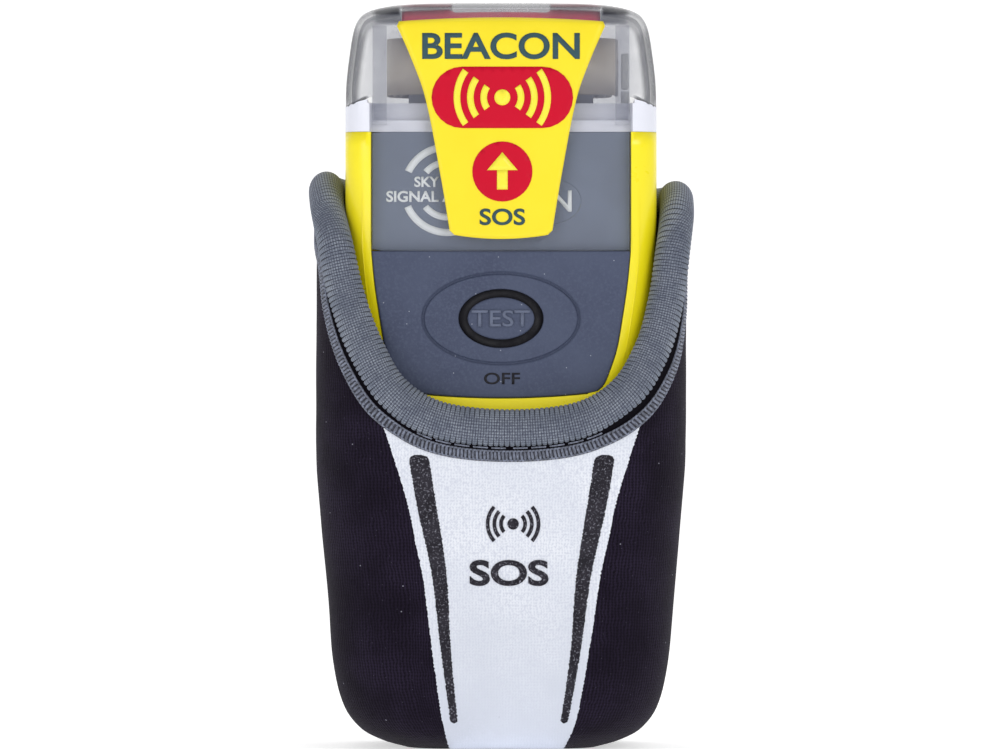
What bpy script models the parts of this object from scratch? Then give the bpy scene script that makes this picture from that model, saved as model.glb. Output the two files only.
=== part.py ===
"""Emergency position beacon standing in its padded carry pouch.

Metres, +Z up, the front faces -Y. The origin is the middle of the pouch's flat
underside. Plan outlines are rounded boxes, given as stations from low to high.
"""
import math

import bmesh
import bpy
from mathutils import Matrix, Vector

# --- Driving dimensions -----------------------------------------------------
GAP = 0.0003                    # play between neighbouring pieces
CORNER_STEPS = 5                # facets in each rounded corner of a plan outline

BEACON_BOTTOM = 0.0056
BEACON_FRONT = 0.0170           # half depth of the beacon's casing
CASE_TOP = 0.0924
CASE_WALL = 0.0020
COLLAR_TOP = 0.0970
CAP_WALL = 0.0013
CAP_EDGE_FRONT = 0.0979         # lower edge of the cap's sides, at the tongue
CAP_EDGE_SIDE = 0.0964          # and at the silhouette
CAP_EDGE_FAR = 0.0300           # the edge line runs on to here, past the casing
TONGUE_HALF_WIDTH = 0.0194
TONGUE_BOTTOM = 0.0750
RECESS_DEPTH = 0.0138           # floor of the recess behind the tongue
KEYPAD_FLOOR = 0.0152           # floor of the recess behind the keypad
PANEL_THICKNESS = 0.0012
KEYPAD_THICKNESS = 0.0014

TEST_CENTRE = (0.0, 0.0647)
TEST_RADII = (0.00515, 0.00325)
ON_CENTRE = (0.0072, 0.0823)
ON_RADII = (0.0046, 0.0032)
BUTTON_THICKNESS = 0.0013
PLUNGER_RADIUS = 0.0014
PLUNGER_BACK = 0.01195
SWITCH_FRONT = 0.0112
SWITCH_SIZE = 0.0050

BOARD_FRONT = 0.0090
BOARD_THICKNESS = 0.0012
BOARD_HALF_WIDTH = 0.0142
BOARD_BOTTOM = 0.0175
BOARD_TOP = 0.0905

CELL_RADIUS = 0.0084
CELL_SPREAD = 0.00865
CELL_Y = 0.0030
CELL_BOTTOM = 0.0237
CELL_HEIGHT = 0.0345
TRAY_HALF_WIDTH = 0.0152

HEAD_RADII = (0.0140, 0.0092)
HEAD_TOP = 0.1086
TAPE_TURNS = 3
TAPE_PITCH = 0.00095
TAPE_THICKNESS = 0.0005
TAPE_BOTTOM = 0.0985
TAPE_TOP = 0.1070

SCREWS = ((-0.0095, 0.0130), (0.0095, 0.0130), (-0.0173, 0.0880), (0.0173, 0.0880))
BOSS_RADIUS = 0.0026
SCREW_SHAFT_RADIUS = 0.0012
SCREW_HEAD_RADIUS = 0.0022
SCREW_HEAD_BACK = 0.0162
SCREW_HEAD_FRONT = 0.0148
SCREW_TIP = -0.0040
LANYARD_BAR_Z = 0.0720

POUCH_WALL = 0.0040
POUCH_FLOOR = 0.0052
BINDING_RADIUS = 0.00265
RIM_CLEARANCE = 0.0030          # from the beacon's side to the binding's centre line
RIM_TOP = 0.0842
RIM_LEVEL = 0.0580              # below this the scoop has its whole twist, above it the mouth tilts
RIM_TWIST = 0.0013              # how far the scoop sits to the right at its lowest
RIM_TILT = 0.028                # how the mouth's top falls from left to right
LOOP_HALF_WIDTH = 0.0150
LOOP_THICKNESS = 0.0020
LOOP_REACH = 0.0073             # from the pouch's back to the strap's outer face
LOOP_PADS = ((0.0150, 0.0210), (0.0730, 0.0790))

# Stations: z, half width, depth to the front, depth to the back, front and back radius.
CASE_STATIONS = (
    (BEACON_BOTTOM, 0.0120, 0.0110, 0.0110, 0.0060, 0.0060),
    (0.0062, 0.0142, 0.0132, 0.0132, 0.0070, 0.0070),
    (0.0080, 0.0166, 0.0152, 0.0152, 0.0080, 0.0080),
    (0.0120, 0.0190, 0.0167, 0.0167, 0.0085, 0.0080),
    (0.0250, 0.0208, BEACON_FRONT, 0.0170, 0.0085, 0.0080),
    (0.0520, 0.0225, BEACON_FRONT, 0.0170, 0.0085, 0.0080),
    (0.0750, 0.0233, BEACON_FRONT, 0.0170, 0.0058, 0.0080),
    (0.0880, 0.0234, BEACON_FRONT, 0.0170, 0.0045, 0.0080),
    (CASE_TOP, 0.0234, BEACON_FRONT, 0.0170, 0.0045, 0.0080),
)
CAP_STATIONS = (
    (TONGUE_BOTTOM, 0.0234, BEACON_FRONT, 0.0170, 0.0045, 0.0080),
    (0.0990, 0.0233, BEACON_FRONT, 0.0170, 0.0045, 0.0080),
    (0.1055, 0.0226, BEACON_FRONT, 0.0168, 0.0045, 0.0078),
    (0.1085, 0.0220, 0.0166, 0.0164, 0.0045, 0.0075),
    (0.1100, 0.0213, 0.0158, 0.0157, 0.0045, 0.0070),
    (0.1108, 0.0195, 0.0143, 0.0142, 0.0045, 0.0065),
    (0.1115, 0.0150, 0.0112, 0.0111, 0.0045, 0.0055),
    (0.1121, 0.0085, 0.0068, 0.0068, 0.0030, 0.0035),
    (0.1124, 0.0030, 0.0026, 0.0026, 0.0012, 0.0012),
)
POUCH_STATIONS = (
    (0.0000, 0.0142, 0.0115, 0.0120, 0.0075, 0.0080),
    (0.0010, 0.0176, 0.0146, 0.0152, 0.0090, 0.0095),
    (0.0027, 0.0209, 0.0172, 0.0178, 0.0105, 0.0105),
    (0.0062, 0.0236, 0.0193, 0.0200, 0.0115, 0.0110),
    (0.0127, 0.0252, 0.0211, 0.0213, 0.0120, 0.0115),
    (0.0220, 0.0260, 0.0213, 0.0213, 0.0125, 0.0115),
    (0.0370, 0.0273, 0.0213, 0.0213, 0.0125, 0.0115),
    (0.0450, 0.0278, 0.0213, 0.0213, 0.0125, 0.0115),
    (0.0750, 0.0278, 0.0213, 0.0213, 0.0100, 0.0115),
    (0.0880, 0.0279, 0.0213, 0.0213, 0.0095, 0.0115),
)
# Half width of the keypad at each height, from its lower corner to its top.
KEYPAD_EDGE = ((0.0535, 0.0150), (0.0570, 0.0164), (0.0600, 0.0173), (0.0645, 0.0181), (0.0700, 0.0189),
               (0.0747, 0.0193))
# Half width of the label at each height: its sides are hollow.
LABEL_EDGE = ((0.0774, 0.0076), (0.0857, 0.0090), (0.0979, 0.0114), (0.1040, 0.0136), (0.1092, 0.0159))
# Half of the mouth's rim: across, and height, along the front scoop.
RIM_SCOOP = ((0.0, 0.0479), (0.0107, 0.0491), (0.0175, 0.0532), (0.0215, 0.0599),
             (0.0239, 0.0675), (0.0253, 0.0750))
# Then over the side's shoulder and round the back: across, along, height.
RIM_SHOULDER = ((0.0262, -0.0112, 0.0802), (0.0265, -0.0050, 0.0829), (0.0265, 0.0030, 0.0835),
                (0.0262, 0.0110, 0.0831), (0.0226, 0.0176, 0.0825), (0.0140, 0.0200, 0.0822))
RIM_BACK = (0.0, 0.0200, 0.0821)


# --- Scene and materials ----------------------------------------------------
for old in list(bpy.data.objects):
    bpy.data.objects.remove(old)

parts = bpy.data.collections.new("emergency_position_beacon")
cutters = bpy.data.collections.new("cutters")
bpy.context.scene.collection.children.link(parts)
bpy.context.scene.collection.children.link(cutters)


def material(name, color, roughness, metallic=0.0, transmission=0.0):
    """A Principled BSDF material with plain values."""
    made = bpy.data.materials.new(name)
    made.use_nodes = True
    shader = made.node_tree.nodes["Principled BSDF"]
    shader.inputs["Base Color"].default_value = (*color, 1.0)
    shader.inputs["Roughness"].default_value = roughness
    shader.inputs["Metallic"].default_value = metallic
    shader.inputs["Transmission Weight"].default_value = transmission
    made.diffuse_color = (*color, 1.0)
    return made


NEOPRENE = material("neoprene", (0.014, 0.011, 0.020), 0.85)
KNIT = material("grey_knit", (0.17, 0.19, 0.22), 0.9)
WEBBING = material("black_webbing", (0.012, 0.012, 0.014), 0.8)
YELLOW = material("yellow_casing", (0.95, 0.78, 0.02), 0.35)
WHITE = material("white_moulding", (0.80, 0.81, 0.86), 0.4)
PANEL = material("dark_panel", (0.15, 0.17, 0.21), 0.45)
SLATE = material("slate_keypad", (0.085, 0.10, 0.155), 0.6)
SMOKED = material("smoked_clear", (0.45, 0.47, 0.52), 0.12, transmission=0.9)
LABEL = material("label_yellow", (0.95, 0.80, 0.04), 0.3)
HEAD = material("antenna_grey", (0.45, 0.45, 0.43), 0.5)
TAPE = material("antenna_bronze", (0.30, 0.22, 0.12), 0.35, metallic=0.9)
RED = material("red_tab", (0.55, 0.02, 0.05), 0.4)
SEAL = material("seal_rubber", (0.02, 0.02, 0.02), 0.8)
BOARD = material("circuit_board", (0.02, 0.14, 0.06), 0.5)
TIN = material("tinned_steel", (0.62, 0.62, 0.60), 0.3, metallic=1.0)
CERAMIC = material("patch_ceramic", (0.42, 0.36, 0.26), 0.6)
CELL = material("cell_sleeve", (0.03, 0.10, 0.28), 0.35)
TRAY = material("tray_plastic", (0.03, 0.03, 0.035), 0.5)
STEEL = material("screw_steel", (0.55, 0.55, 0.55), 0.3, metallic=1.0)
LENS = material("led_lens", (0.85, 0.85, 0.80), 0.1, transmission=0.8)


# --- Modelling helpers ------------------------------------------------------
def add_object(name, mesh, surface, location=(0.0, 0.0, 0.0)):
    """Put a mesh in the scene: with a material it is a part, without one a cutter."""
    made = bpy.data.objects.new(name, mesh)
    made.location = location
    if surface is None:
        made.hide_render = True
        made.display_type = "WIRE"
        cutters.objects.link(made)
        return made
    mesh.materials.append(surface)
    mesh.shade_smooth()
    mesh.set_sharp_from_angle(angle=math.radians(35))
    parts.objects.link(made)
    return made


def mesh_from(name, bm):
    """Turn a bmesh into mesh data and free it."""
    mesh = bpy.data.meshes.new(name)
    bm.to_mesh(mesh)
    bm.free()
    return mesh


def box(name, low, high, surface=None, bevel=0.0):
    """A box between two corners."""
    size = Vector(high) - Vector(low)
    bm = bmesh.new()
    bmesh.ops.create_cube(bm, size=1.0, matrix=Matrix.Diagonal((*size, 1.0)))
    made = add_object(name, mesh_from(name, bm), surface, (Vector(low) + Vector(high)) / 2)
    if bevel:
        edge = made.modifiers.new("rounded", "BEVEL")
        edge.width = bevel
        edge.segments = 2
    return made


def rod_y(name, centre, radius, y_from, y_to, surface=None, sides=20):
    """A cylinder along Y at an (x, z) centre."""
    bm = bmesh.new()
    bmesh.ops.create_cone(bm, cap_ends=True, segments=sides, radius1=radius, radius2=radius,
                          depth=abs(y_to - y_from), matrix=Matrix.Rotation(math.pi / 2, 4, "X"))
    place = (centre[0], (y_from + y_to) / 2, centre[1])
    return add_object(name, mesh_from(name, bm), surface, place)


def rod_z(name, centre, radius, z_from, z_to, surface=None, sides=20):
    """A cylinder along Z at an (x, y) centre."""
    bm = bmesh.new()
    bmesh.ops.create_cone(bm, cap_ends=True, segments=sides, radius1=radius, radius2=radius,
                          depth=z_to - z_from)
    place = (centre[0], centre[1], (z_from + z_to) / 2)
    return add_object(name, mesh_from(name, bm), surface, place)


def turned(name, centre, profile, surface, sides=20):
    """Spin a profile of (radius, height) points, top first, about a vertical axis."""
    mesh = bpy.data.meshes.new(name)
    points = [(radius, 0.0, height) for radius, height in profile]
    mesh.from_pydata(points, [(i, i + 1) for i in range(len(points) - 1)], [])
    made = add_object(name, mesh, surface, (centre[0], centre[1], 0.0))
    spin = made.modifiers.new("turned", "SCREW")
    spin.steps = sides
    spin.render_steps = sides
    spin.use_merge_vertices = True
    spin.merge_threshold = 0.00001
    return made


def loft(name, rings, surface=None):
    """Skin rings of equal length, low to high, and cap both ends."""
    bm = bmesh.new()
    rows = [[bm.verts.new(point) for point in ring] for ring in rings]
    for low, high in zip(rows, rows[1:]):
        for i in range(len(low)):
            j = (i + 1) % len(low)
            bm.faces.new((low[i], low[j], high[j], high[i]))
    bm.faces.new(tuple(reversed(rows[0])))
    bm.faces.new(tuple(rows[-1]))
    return add_object(name, mesh_from(name, bm), surface)


def plan_ring(station):
    """Plan outline of a rounded box at one station, anticlockwise."""
    z, half_width, front, back, front_radius, back_radius = station
    corners = (
        (half_width - back_radius, back - back_radius, back_radius),
        (back_radius - half_width, back - back_radius, back_radius),
        (front_radius - half_width, front_radius - front, front_radius),
        (half_width - front_radius, front_radius - front, front_radius),
    )
    points = []
    for quarter, (centre_x, centre_y, radius) in enumerate(corners):
        for step in range(CORNER_STEPS + 1):
            angle = math.pi / 2 * (quarter + step / CORNER_STEPS)
            points.append((centre_x + radius * math.cos(angle), centre_y + radius * math.sin(angle), z))
    return points


def inset(stations, wall, lift=0.0):
    """Stations of a surface lying a wall's thickness inside the given one."""
    least_radius = 0.0006
    inner = []
    for z, half_width, front, back, front_radius, back_radius in stations:
        inner.append((z + lift, half_width - wall, front - wall, back - wall,
                      max(front_radius - wall, least_radius), max(back_radius - wall, least_radius)))
    return inner


def station_at(stations, z):
    """The station at any height, between the given ones."""
    for low, high in zip(stations, stations[1:]):
        if low[0] <= z <= high[0]:
            share = (z - low[0]) / (high[0] - low[0])
            return tuple(a + (b - a) * share for a, b in zip(low, high))
    return stations[0] if z < stations[0][0] else stations[-1]


def rounded_box(name, stations, surface=None):
    """A solid through rounded-box stations."""
    return loft(name, [plan_ring(station) for station in stations], surface)


def smooth_points(points, count_between, closed):
    """Points along a Catmull-Rom curve through the given ones."""
    points = [Vector(point) for point in points]
    total = len(points)
    made = []
    spans = total if closed else total - 1
    for i in range(spans):
        if closed:
            before, start, end, after = (points[(i + k) % total] for k in (-1, 0, 1, 2))
        else:
            before, start, end, after = (points[min(max(i + k, 0), total - 1)] for k in (-1, 0, 1, 2))
        for step in range(count_between):
            t = step / count_between
            made.append(0.5 * (2 * start + (end - before) * t
                               + (2 * before - 5 * start + 4 * end - after) * t * t
                               + (3 * start - before - 3 * end + after) * t * t * t))
    if not closed:
        made.append(points[-1])
    return made


def curve_to_mesh(curve_object, surface):
    """Replace a curve object by its welded mesh."""
    name = curve_object.name
    graph = bpy.context.evaluated_depsgraph_get()
    mesh = bpy.data.meshes.new_from_object(curve_object.evaluated_get(graph))
    matrix = curve_object.matrix_world.copy()
    bpy.data.objects.remove(curve_object)
    bm = bmesh.new()
    bm.from_mesh(mesh)
    bmesh.ops.remove_doubles(bm, verts=bm.verts, dist=0.00001)
    bmesh.ops.recalc_face_normals(bm, faces=bm.faces)
    bm.to_mesh(mesh)
    bm.free()
    mesh.materials.clear()
    made = add_object(name, mesh, surface)
    made.matrix_world = matrix
    return made


def upright_plate(name, outline, y_front, y_back, surface=None):
    """An (x, z) outline made into a plate between two depths."""
    curve = bpy.data.curves.new(name, "CURVE")
    curve.dimensions = "2D"
    curve.fill_mode = "BOTH"
    curve.extrude = abs(y_back - y_front) / 2
    spline = curve.splines.new("POLY")
    spline.points.add(len(outline) - 1)
    for point, (x, z) in zip(spline.points, outline):
        point.co = (x, z, 0.0, 1.0)
    spline.use_cyclic_u = True
    flat = bpy.data.objects.new(name, curve)
    flat.location = (0.0, (y_front + y_back) / 2, 0.0)
    flat.rotation_euler = (math.pi / 2, 0.0, 0.0)
    cutters.objects.link(flat)
    bpy.context.view_layer.update()
    return curve_to_mesh(flat, surface)


def tube(name, route, radius, closed, surface=None):
    """A round tube along a route, as a welded mesh."""
    curve = bpy.data.curves.new(name, "CURVE")
    curve.dimensions = "3D"
    curve.bevel_depth = radius
    curve.bevel_resolution = 2
    curve.use_fill_caps = not closed
    spline = curve.splines.new("POLY")
    spline.points.add(len(route) - 1)
    for point, place in zip(spline.points, route):
        point.co = (*place, 1.0)
    spline.use_cyclic_u = closed
    made = bpy.data.objects.new(name, curve)
    cutters.objects.link(made)
    bpy.context.view_layer.update()
    return curve_to_mesh(made, surface)


def ellipse(centre, radii, grow=0.0, steps=28):
    """Outline of an ellipse about an (x, z) centre."""
    turns = (2 * math.pi * step / steps for step in range(steps))
    return [(centre[0] + (radii[0] + grow) * math.cos(turn), centre[1] + (radii[1] + grow) * math.sin(turn))
            for turn in turns]


def boolean(target, tool, operation="DIFFERENCE"):
    """Cut a tool from a target, or join or intersect it."""
    change = target.modifiers.new(tool.name, "BOOLEAN")
    change.object = tool
    change.operation = operation
    change.solver = "EXACT"


def both_sides(edge):
    """Close a right-hand edge of (z, x) points, low to high, by its mirror image."""
    right = [(x, z) for z, x in edge]
    return right + [(-x, z) for x, z in reversed(right)]


# --- Pouch ------------------------------------------------------------------
def rim_route():
    """Centre line of the binding round the pouch's mouth, a closed loop."""
    def leaned(x, y, height):
        share = min(max((height - RIM_LEVEL) / (RIM_TOP - RIM_LEVEL), 0.0), 1.0)
        return (x + RIM_TWIST * (1.0 - share), y, height - RIM_TILT * x * share)

    def scoop_point(side, across, height):
        x, _, z = leaned(side * across, 0.0, height)
        _, half_width, front, _, radius, _ = station_at(CASE_STATIONS, height)
        reach = radius + RIM_CLEARANCE
        past = min(max(abs(x) - (half_width - radius), 0.0), reach)
        return (x, -(front - radius) - math.sqrt(reach ** 2 - past ** 2), z)

    right = [scoop_point(1, across, height) for across, height in RIM_SCOOP]
    left = [scoop_point(-1, across, height) for across, height in RIM_SCOOP[1:]]
    right += [leaned(x, y, z) for x, y, z in RIM_SHOULDER]
    left += [leaned(-x, y, z) for x, y, z in RIM_SHOULDER]
    return smooth_points(right + [RIM_BACK] + left[::-1], 3, closed=True)


def make_pouch():
    """Padded pocket, cut to the rim, with its binding and belt loop."""
    shell = rounded_box("pouch_shell", POUCH_STATIONS, NEOPRENE)
    inner = [station for station in inset(POUCH_STATIONS, POUCH_WALL) if station[0] > POUCH_FLOOR]
    floor = list(station_at(inset(POUCH_STATIONS, POUCH_WALL), POUCH_FLOOR))
    mouth = list(inner[-1])
    mouth[0] += 0.01
    boolean(shell, rounded_box("pouch_hollow", [floor] + inner + [mouth]))

    route = rim_route()
    above, inward, outward, drop = 0.11, 0.55, 1.6, 0.0065
    rings = [[(p.x * outward, p.y * outward, p.z) for p in route],
             [(p.x * outward, p.y * outward, above) for p in route],
             [(p.x * inward, p.y * inward, above) for p in route],
             [(p.x * inward, p.y * inward, p.z - drop) for p in route]]
    boolean(shell, closed_band("pouch_mouth", rings))
    boolean(shell, tube("binding_seat", route, BINDING_RADIUS + GAP, True))
    tube("edge_binding", route, BINDING_RADIUS, True, KNIT)

    back = POUCH_STATIONS[-1][3]
    near, far = back + GAP, back + LOOP_REACH
    (low, low_end), (high_start, high) = LOOP_PADS
    strap = box("belt_loop", (-LOOP_HALF_WIDTH, near, low), (LOOP_HALF_WIDTH, far, high), WEBBING)
    boolean(strap, box("belt_way", (-0.02, near - 0.001, low_end), (0.02, far - LOOP_THICKNESS, high_start)))


def closed_band(name, rings):
    """Skin rings into a ring-shaped solid: the last ring joins the first."""
    bm = bmesh.new()
    rows = [[bm.verts.new(point) for point in ring] for ring in rings]
    for k, low in enumerate(rows):
        high = rows[(k + 1) % len(rows)]
        for i in range(len(low)):
            j = (i + 1) % len(low)
            bm.faces.new((low[i], low[j], high[j], high[i]))
    return add_object(name, mesh_from(name, bm), None)


# --- Casing -----------------------------------------------------------------
def keypad_outline(grow=0.0):
    """Outline of the keypad, tapering down to a slightly bowed lower edge."""
    bow, steps = 0.0006, 6
    rises = [-grow] + [0.0] * (len(KEYPAD_EDGE) - 2) + [grow]
    edge = [(z + rise, x + grow) for rise, (z, x) in zip(rises, KEYPAD_EDGE)]
    low_z, low_x = edge[0]
    outline = both_sides(edge)
    for step in range(1, steps):
        across = 2 * step / steps - 1
        outline.append((low_x * across, low_z - bow * (1 - across ** 2)))
    return outline


def case_shell(name, keep_front):
    """One half of the casing: a hollow shell open at the top and at the split."""
    shell = rounded_box(name, CASE_STATIONS, YELLOW)
    inner = inset(CASE_STATIONS, CASE_WALL, CASE_WALL)
    inner_front = RECESS_DEPTH - 0.0018
    capped = [(z, width, min(front, inner_front), back, front_radius, back_radius)
              for z, width, front, back, front_radius, back_radius in inner]
    boolean(shell, rounded_box(name + "_hollow", capped))
    far, split = 0.03, GAP / 2
    if keep_front:
        boolean(shell, box(name + "_split", (-far, -split, -0.01), (far, far, 0.12)))
    else:
        boolean(shell, box(name + "_split", (-far, -far, -0.01), (far, split, 0.12)))
    return shell


def make_front_case():
    """Front casing with its two recesses, button wells and screw bosses."""
    shell = case_shell("front_case", True)
    for number, (x, z) in enumerate(SCREWS, 1):
        boolean(shell, rod_y(f"boss_{number}", (x, z), BOSS_RADIUS, -0.0130, 0.0090), "UNION")
    for number, (x, z) in enumerate(SCREWS, 1):
        boolean(shell, rod_y(f"boss_bore_{number}", (x, z), SCREW_SHAFT_RADIUS + GAP, -0.0060, 0.0120))
    out = -0.03
    top_recess = box("tongue_recess", (-TONGUE_HALF_WIDTH - GAP, out, TONGUE_BOTTOM - 0.0004),
                     (TONGUE_HALF_WIDTH + GAP, -RECESS_DEPTH, 0.12))
    boolean(shell, top_recess)
    boolean(shell, upright_plate("keypad_recess", keypad_outline(GAP), out, -KEYPAD_FLOOR))
    boolean(shell, rod_y("test_well", TEST_CENTRE, PLUNGER_RADIUS + GAP, out, 0.0))
    boolean(shell, upright_plate("on_well", ellipse(ON_CENTRE, ON_RADII, 2 * GAP), out, -0.0110))


def make_rear_case():
    """Rear casing with sunk screw seats and a lanyard bar."""
    shell = case_shell("rear_case", False)
    boss_front, boss_back = 0.0120, 0.0160
    for number, (x, z) in enumerate(SCREWS, 1):
        boolean(shell, rod_y(f"pad_{number}", (x, z), SCREW_HEAD_RADIUS + 0.001, boss_front, boss_back), "UNION")
    boolean(shell, rod_y("bar_pad", (0.0, LANYARD_BAR_Z), 0.0066, 0.0117, boss_back), "UNION")
    for number, (x, z) in enumerate(SCREWS, 1):
        boolean(shell, rod_y(f"shaft_way_{number}", (x, z), SCREW_SHAFT_RADIUS + GAP, 0.0100, 0.0200))
        boolean(shell, rod_y(f"head_seat_{number}", (x, z), SCREW_HEAD_RADIUS + GAP,
                             SCREW_HEAD_FRONT - GAP, 0.0200))
    boolean(shell, rod_y("bar_pocket", (0.0, LANYARD_BAR_Z), 0.0050, 0.0132, 0.0200))
    bar_half_width, bar_reach = 0.0010, 0.0058
    boolean(shell, box("bar", (-bar_half_width, 0.0150, LANYARD_BAR_Z - bar_reach),
                       (bar_half_width, 0.0168, LANYARD_BAR_Z + bar_reach)), "UNION")


def make_case_seal():
    """Lip seal along the inside of the split."""
    outer, inner, half_depth = CASE_WALL + GAP, CASE_WALL + 0.0011, 0.0015
    seal = rounded_box("case_seal", inset(CASE_STATIONS, outer, outer)[:-1]
                       + [station_at(inset(CASE_STATIONS, outer, 0.0), 0.0920)], SEAL)
    boolean(seal, rounded_box("seal_hollow", inset(CASE_STATIONS, inner, inner)))
    far = 0.03
    boolean(seal, box("seal_front_cut", (-far, -far, 0.0), (far, -half_depth, 0.1)))
    boolean(seal, box("seal_back_cut", (-far, half_depth, 0.0), (far, far, 0.1)))


def make_collar():
    """White collar with a deck that carries the antenna head."""
    bottom, above = CASE_TOP + GAP, 0.1100
    _, *plan = CASE_STATIONS[-1]
    collar = rounded_box("white_collar", [(bottom, *plan), (CAP_EDGE_FRONT, *plan)], WHITE)
    boolean(collar, box("collar_deck_cut", (-0.0200, -0.03, COLLAR_TOP), (0.0200, 0.03, above)))
    for name, side in (("collar_right_cut", 1), ("collar_left_cut", -1)):
        outline = [(side * x, z - GAP) for x, z in cap_edge_line()]
        outline += [(side * CAP_EDGE_FAR, above), (side * TONGUE_HALF_WIDTH, above)]
        boolean(collar, upright_plate(name, outline[::side], -0.03, 0.03))
    deck_bottom, front_wall = 0.0954, 0.0132
    hollow = (0.0212, front_wall, 0.0148, 0.0030, 0.0060)
    boolean(collar, rounded_box("collar_hollow", [(bottom - 0.001, *hollow), (deck_bottom, *hollow)]))
    out, lip_face, window_face, lip_top = -0.03, -0.0153, -0.0140, 0.0944
    boolean(collar, box("collar_tongue_way", (-TONGUE_HALF_WIDTH - GAP, out, 0.09),
                        (TONGUE_HALF_WIDTH + GAP, lip_face, 0.11)))
    boolean(collar, box("collar_window", (-0.0191, out, lip_top), (0.0191, window_face, 0.11)))
    boolean(collar, rod_z("feed_hole", (0.0060, -0.0040), 0.0021, 0.09, 0.11))


def make_panels():
    """The dark panel behind the tongue and the keypad below it."""
    side = TONGUE_HALF_WIDTH - 0.0003
    low, high = TONGUE_BOTTOM, CASE_TOP - GAP
    front = RECESS_DEPTH + GAP + PANEL_THICKNESS
    outline = [(-side, low), (side, low), (side, high), (-side, high)]
    panel = upright_plate("upper_panel", outline, -front, -(RECESS_DEPTH + GAP), PANEL)
    boolean(panel, upright_plate("on_window", ellipse(ON_CENTRE, ON_RADII, GAP), -0.02, -0.01))
    keypad = upright_plate("keypad_panel", keypad_outline(), -(KEYPAD_FLOOR + GAP + KEYPAD_THICKNESS),
                           -(KEYPAD_FLOOR + GAP), SLATE)
    boolean(keypad, upright_plate("test_window", ellipse(TEST_CENTRE, TEST_RADII, GAP), -0.02, -0.01))


# --- Clear cap --------------------------------------------------------------
def cap_edge_line():
    """Lower edge of the cap's right side, dropping from the tongue to the silhouette."""
    start, end, steps = TONGUE_HALF_WIDTH, 0.0240, 5
    rise = CAP_EDGE_FRONT - CAP_EDGE_SIDE
    edge = []
    for step in range(steps + 1):
        share = step / steps
        edge.append((start + (end - start) * share, CAP_EDGE_FRONT - rise * share ** 1.6))
    return edge + [(CAP_EDGE_FAR, CAP_EDGE_SIDE)]


def make_cap():
    """Clear cap: a dome with a tongue down the front, and its label."""
    cap = rounded_box("clear_cap", CAP_STATIONS, SMOKED)
    inner = inset(CAP_STATIONS, CAP_WALL)
    domed = [station for station in inner if station[0] < 0.1090]
    roof = [(z - CAP_WALL, *rest) for z, *rest in inner if z >= 0.1090 and rest[0] > 0.005]
    below = (TONGUE_BOTTOM - 0.005, *inner[0][1:])
    boolean(cap, rounded_box("cap_hollow", [below] + domed[:-1] + roof))
    below_edge = 0.0600
    for name, side in (("cap_right_cut", 1), ("cap_left_cut", -1)):
        outline = [(side * x, z) for x, z in cap_edge_line()]
        outline += [(side * CAP_EDGE_FAR, below_edge), (side * TONGUE_HALF_WIDTH, below_edge)]
        boolean(cap, upright_plate(name, outline[::side], -0.03, 0.03))
    boolean(cap, box("cap_back_cut", (-0.0200, -0.0152, 0.06), (0.0200, 0.03, COLLAR_TOP + GAP)))

    bow = 0.0006
    low_z, low_x = LABEL_EDGE[0]
    high_z, high_x = LABEL_EDGE[-1]
    right = [(low_x * 0.5, low_z - 0.7 * bow)] + [(x, z) for z, x in LABEL_EDGE]
    right.append((high_x * 0.5, high_z + 0.7 * bow))
    outline = [(0.0, low_z - bow)] + right + [(0.0, high_z + bow)] + [(-x, z) for x, z in reversed(right)]
    upright_plate("cap_label", outline, -(BEACON_FRONT + 2 * GAP), -(BEACON_FRONT + GAP), LABEL)


# --- Buttons ----------------------------------------------------------------
def make_buttons():
    """The two oval buttons with the plungers behind them and their switches."""
    test_face = KEYPAD_FLOOR + GAP + KEYPAD_THICKNESS + 0.0003
    on_face = RECESS_DEPTH + GAP + PANEL_THICKNESS
    for name, centre, radii, face, surface in (("test", TEST_CENTRE, TEST_RADII, test_face, SLATE),
                                               ("on", ON_CENTRE, ON_RADII, on_face, PANEL)):
        back = face - BUTTON_THICKNESS
        cap = upright_plate(name + "_button", ellipse(centre, radii), -face, -back, surface)
        rounding = cap.modifiers.new("rounded", "BEVEL")
        rounding.width = 0.0002
        rounding.segments = 1
        rod_y(name + "_plunger", centre, PLUNGER_RADIUS, -(back - GAP), -PLUNGER_BACK, TRAY, 16)
        half = SWITCH_SIZE / 2
        box(name + "_switch", (centre[0] - half, -SWITCH_FRONT, centre[1] - half),
            (centre[0] + half, -(BOARD_FRONT + GAP), centre[1] + half), TIN, bevel=0.0003)


# --- Electronics ------------------------------------------------------------
def make_board():
    """Circuit board and what is soldered to it."""
    board_back = BOARD_FRONT - BOARD_THICKNESS
    box("main_board", (-BOARD_HALF_WIDTH, -BOARD_FRONT, BOARD_BOTTOM),
        (BOARD_HALF_WIDTH, -board_back, BOARD_TOP), BOARD)
    ahead, behind = -(BOARD_FRONT + GAP), -(board_back - GAP)
    patch_centre, patch_half = (-0.0081, 0.0840), 0.0058
    box("gps_patch", (patch_centre[0] - patch_half, -0.0116, patch_centre[1] - patch_half),
        (patch_centre[0] + patch_half, ahead, patch_centre[1] + patch_half), CERAMIC, bevel=0.0003)
    box("rf_shield", (-0.0120, behind, 0.0620), (0.0120, -0.0045, 0.0745), TIN, bevel=0.0004)
    box("oscillator_can", (-0.0125, behind, 0.0770), (-0.0035, -0.0040, 0.0860), TIN, bevel=0.0008)
    box("status_led", (0.0050, -0.0105, 0.0870), (0.0070, ahead, 0.0882), LENS)


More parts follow.
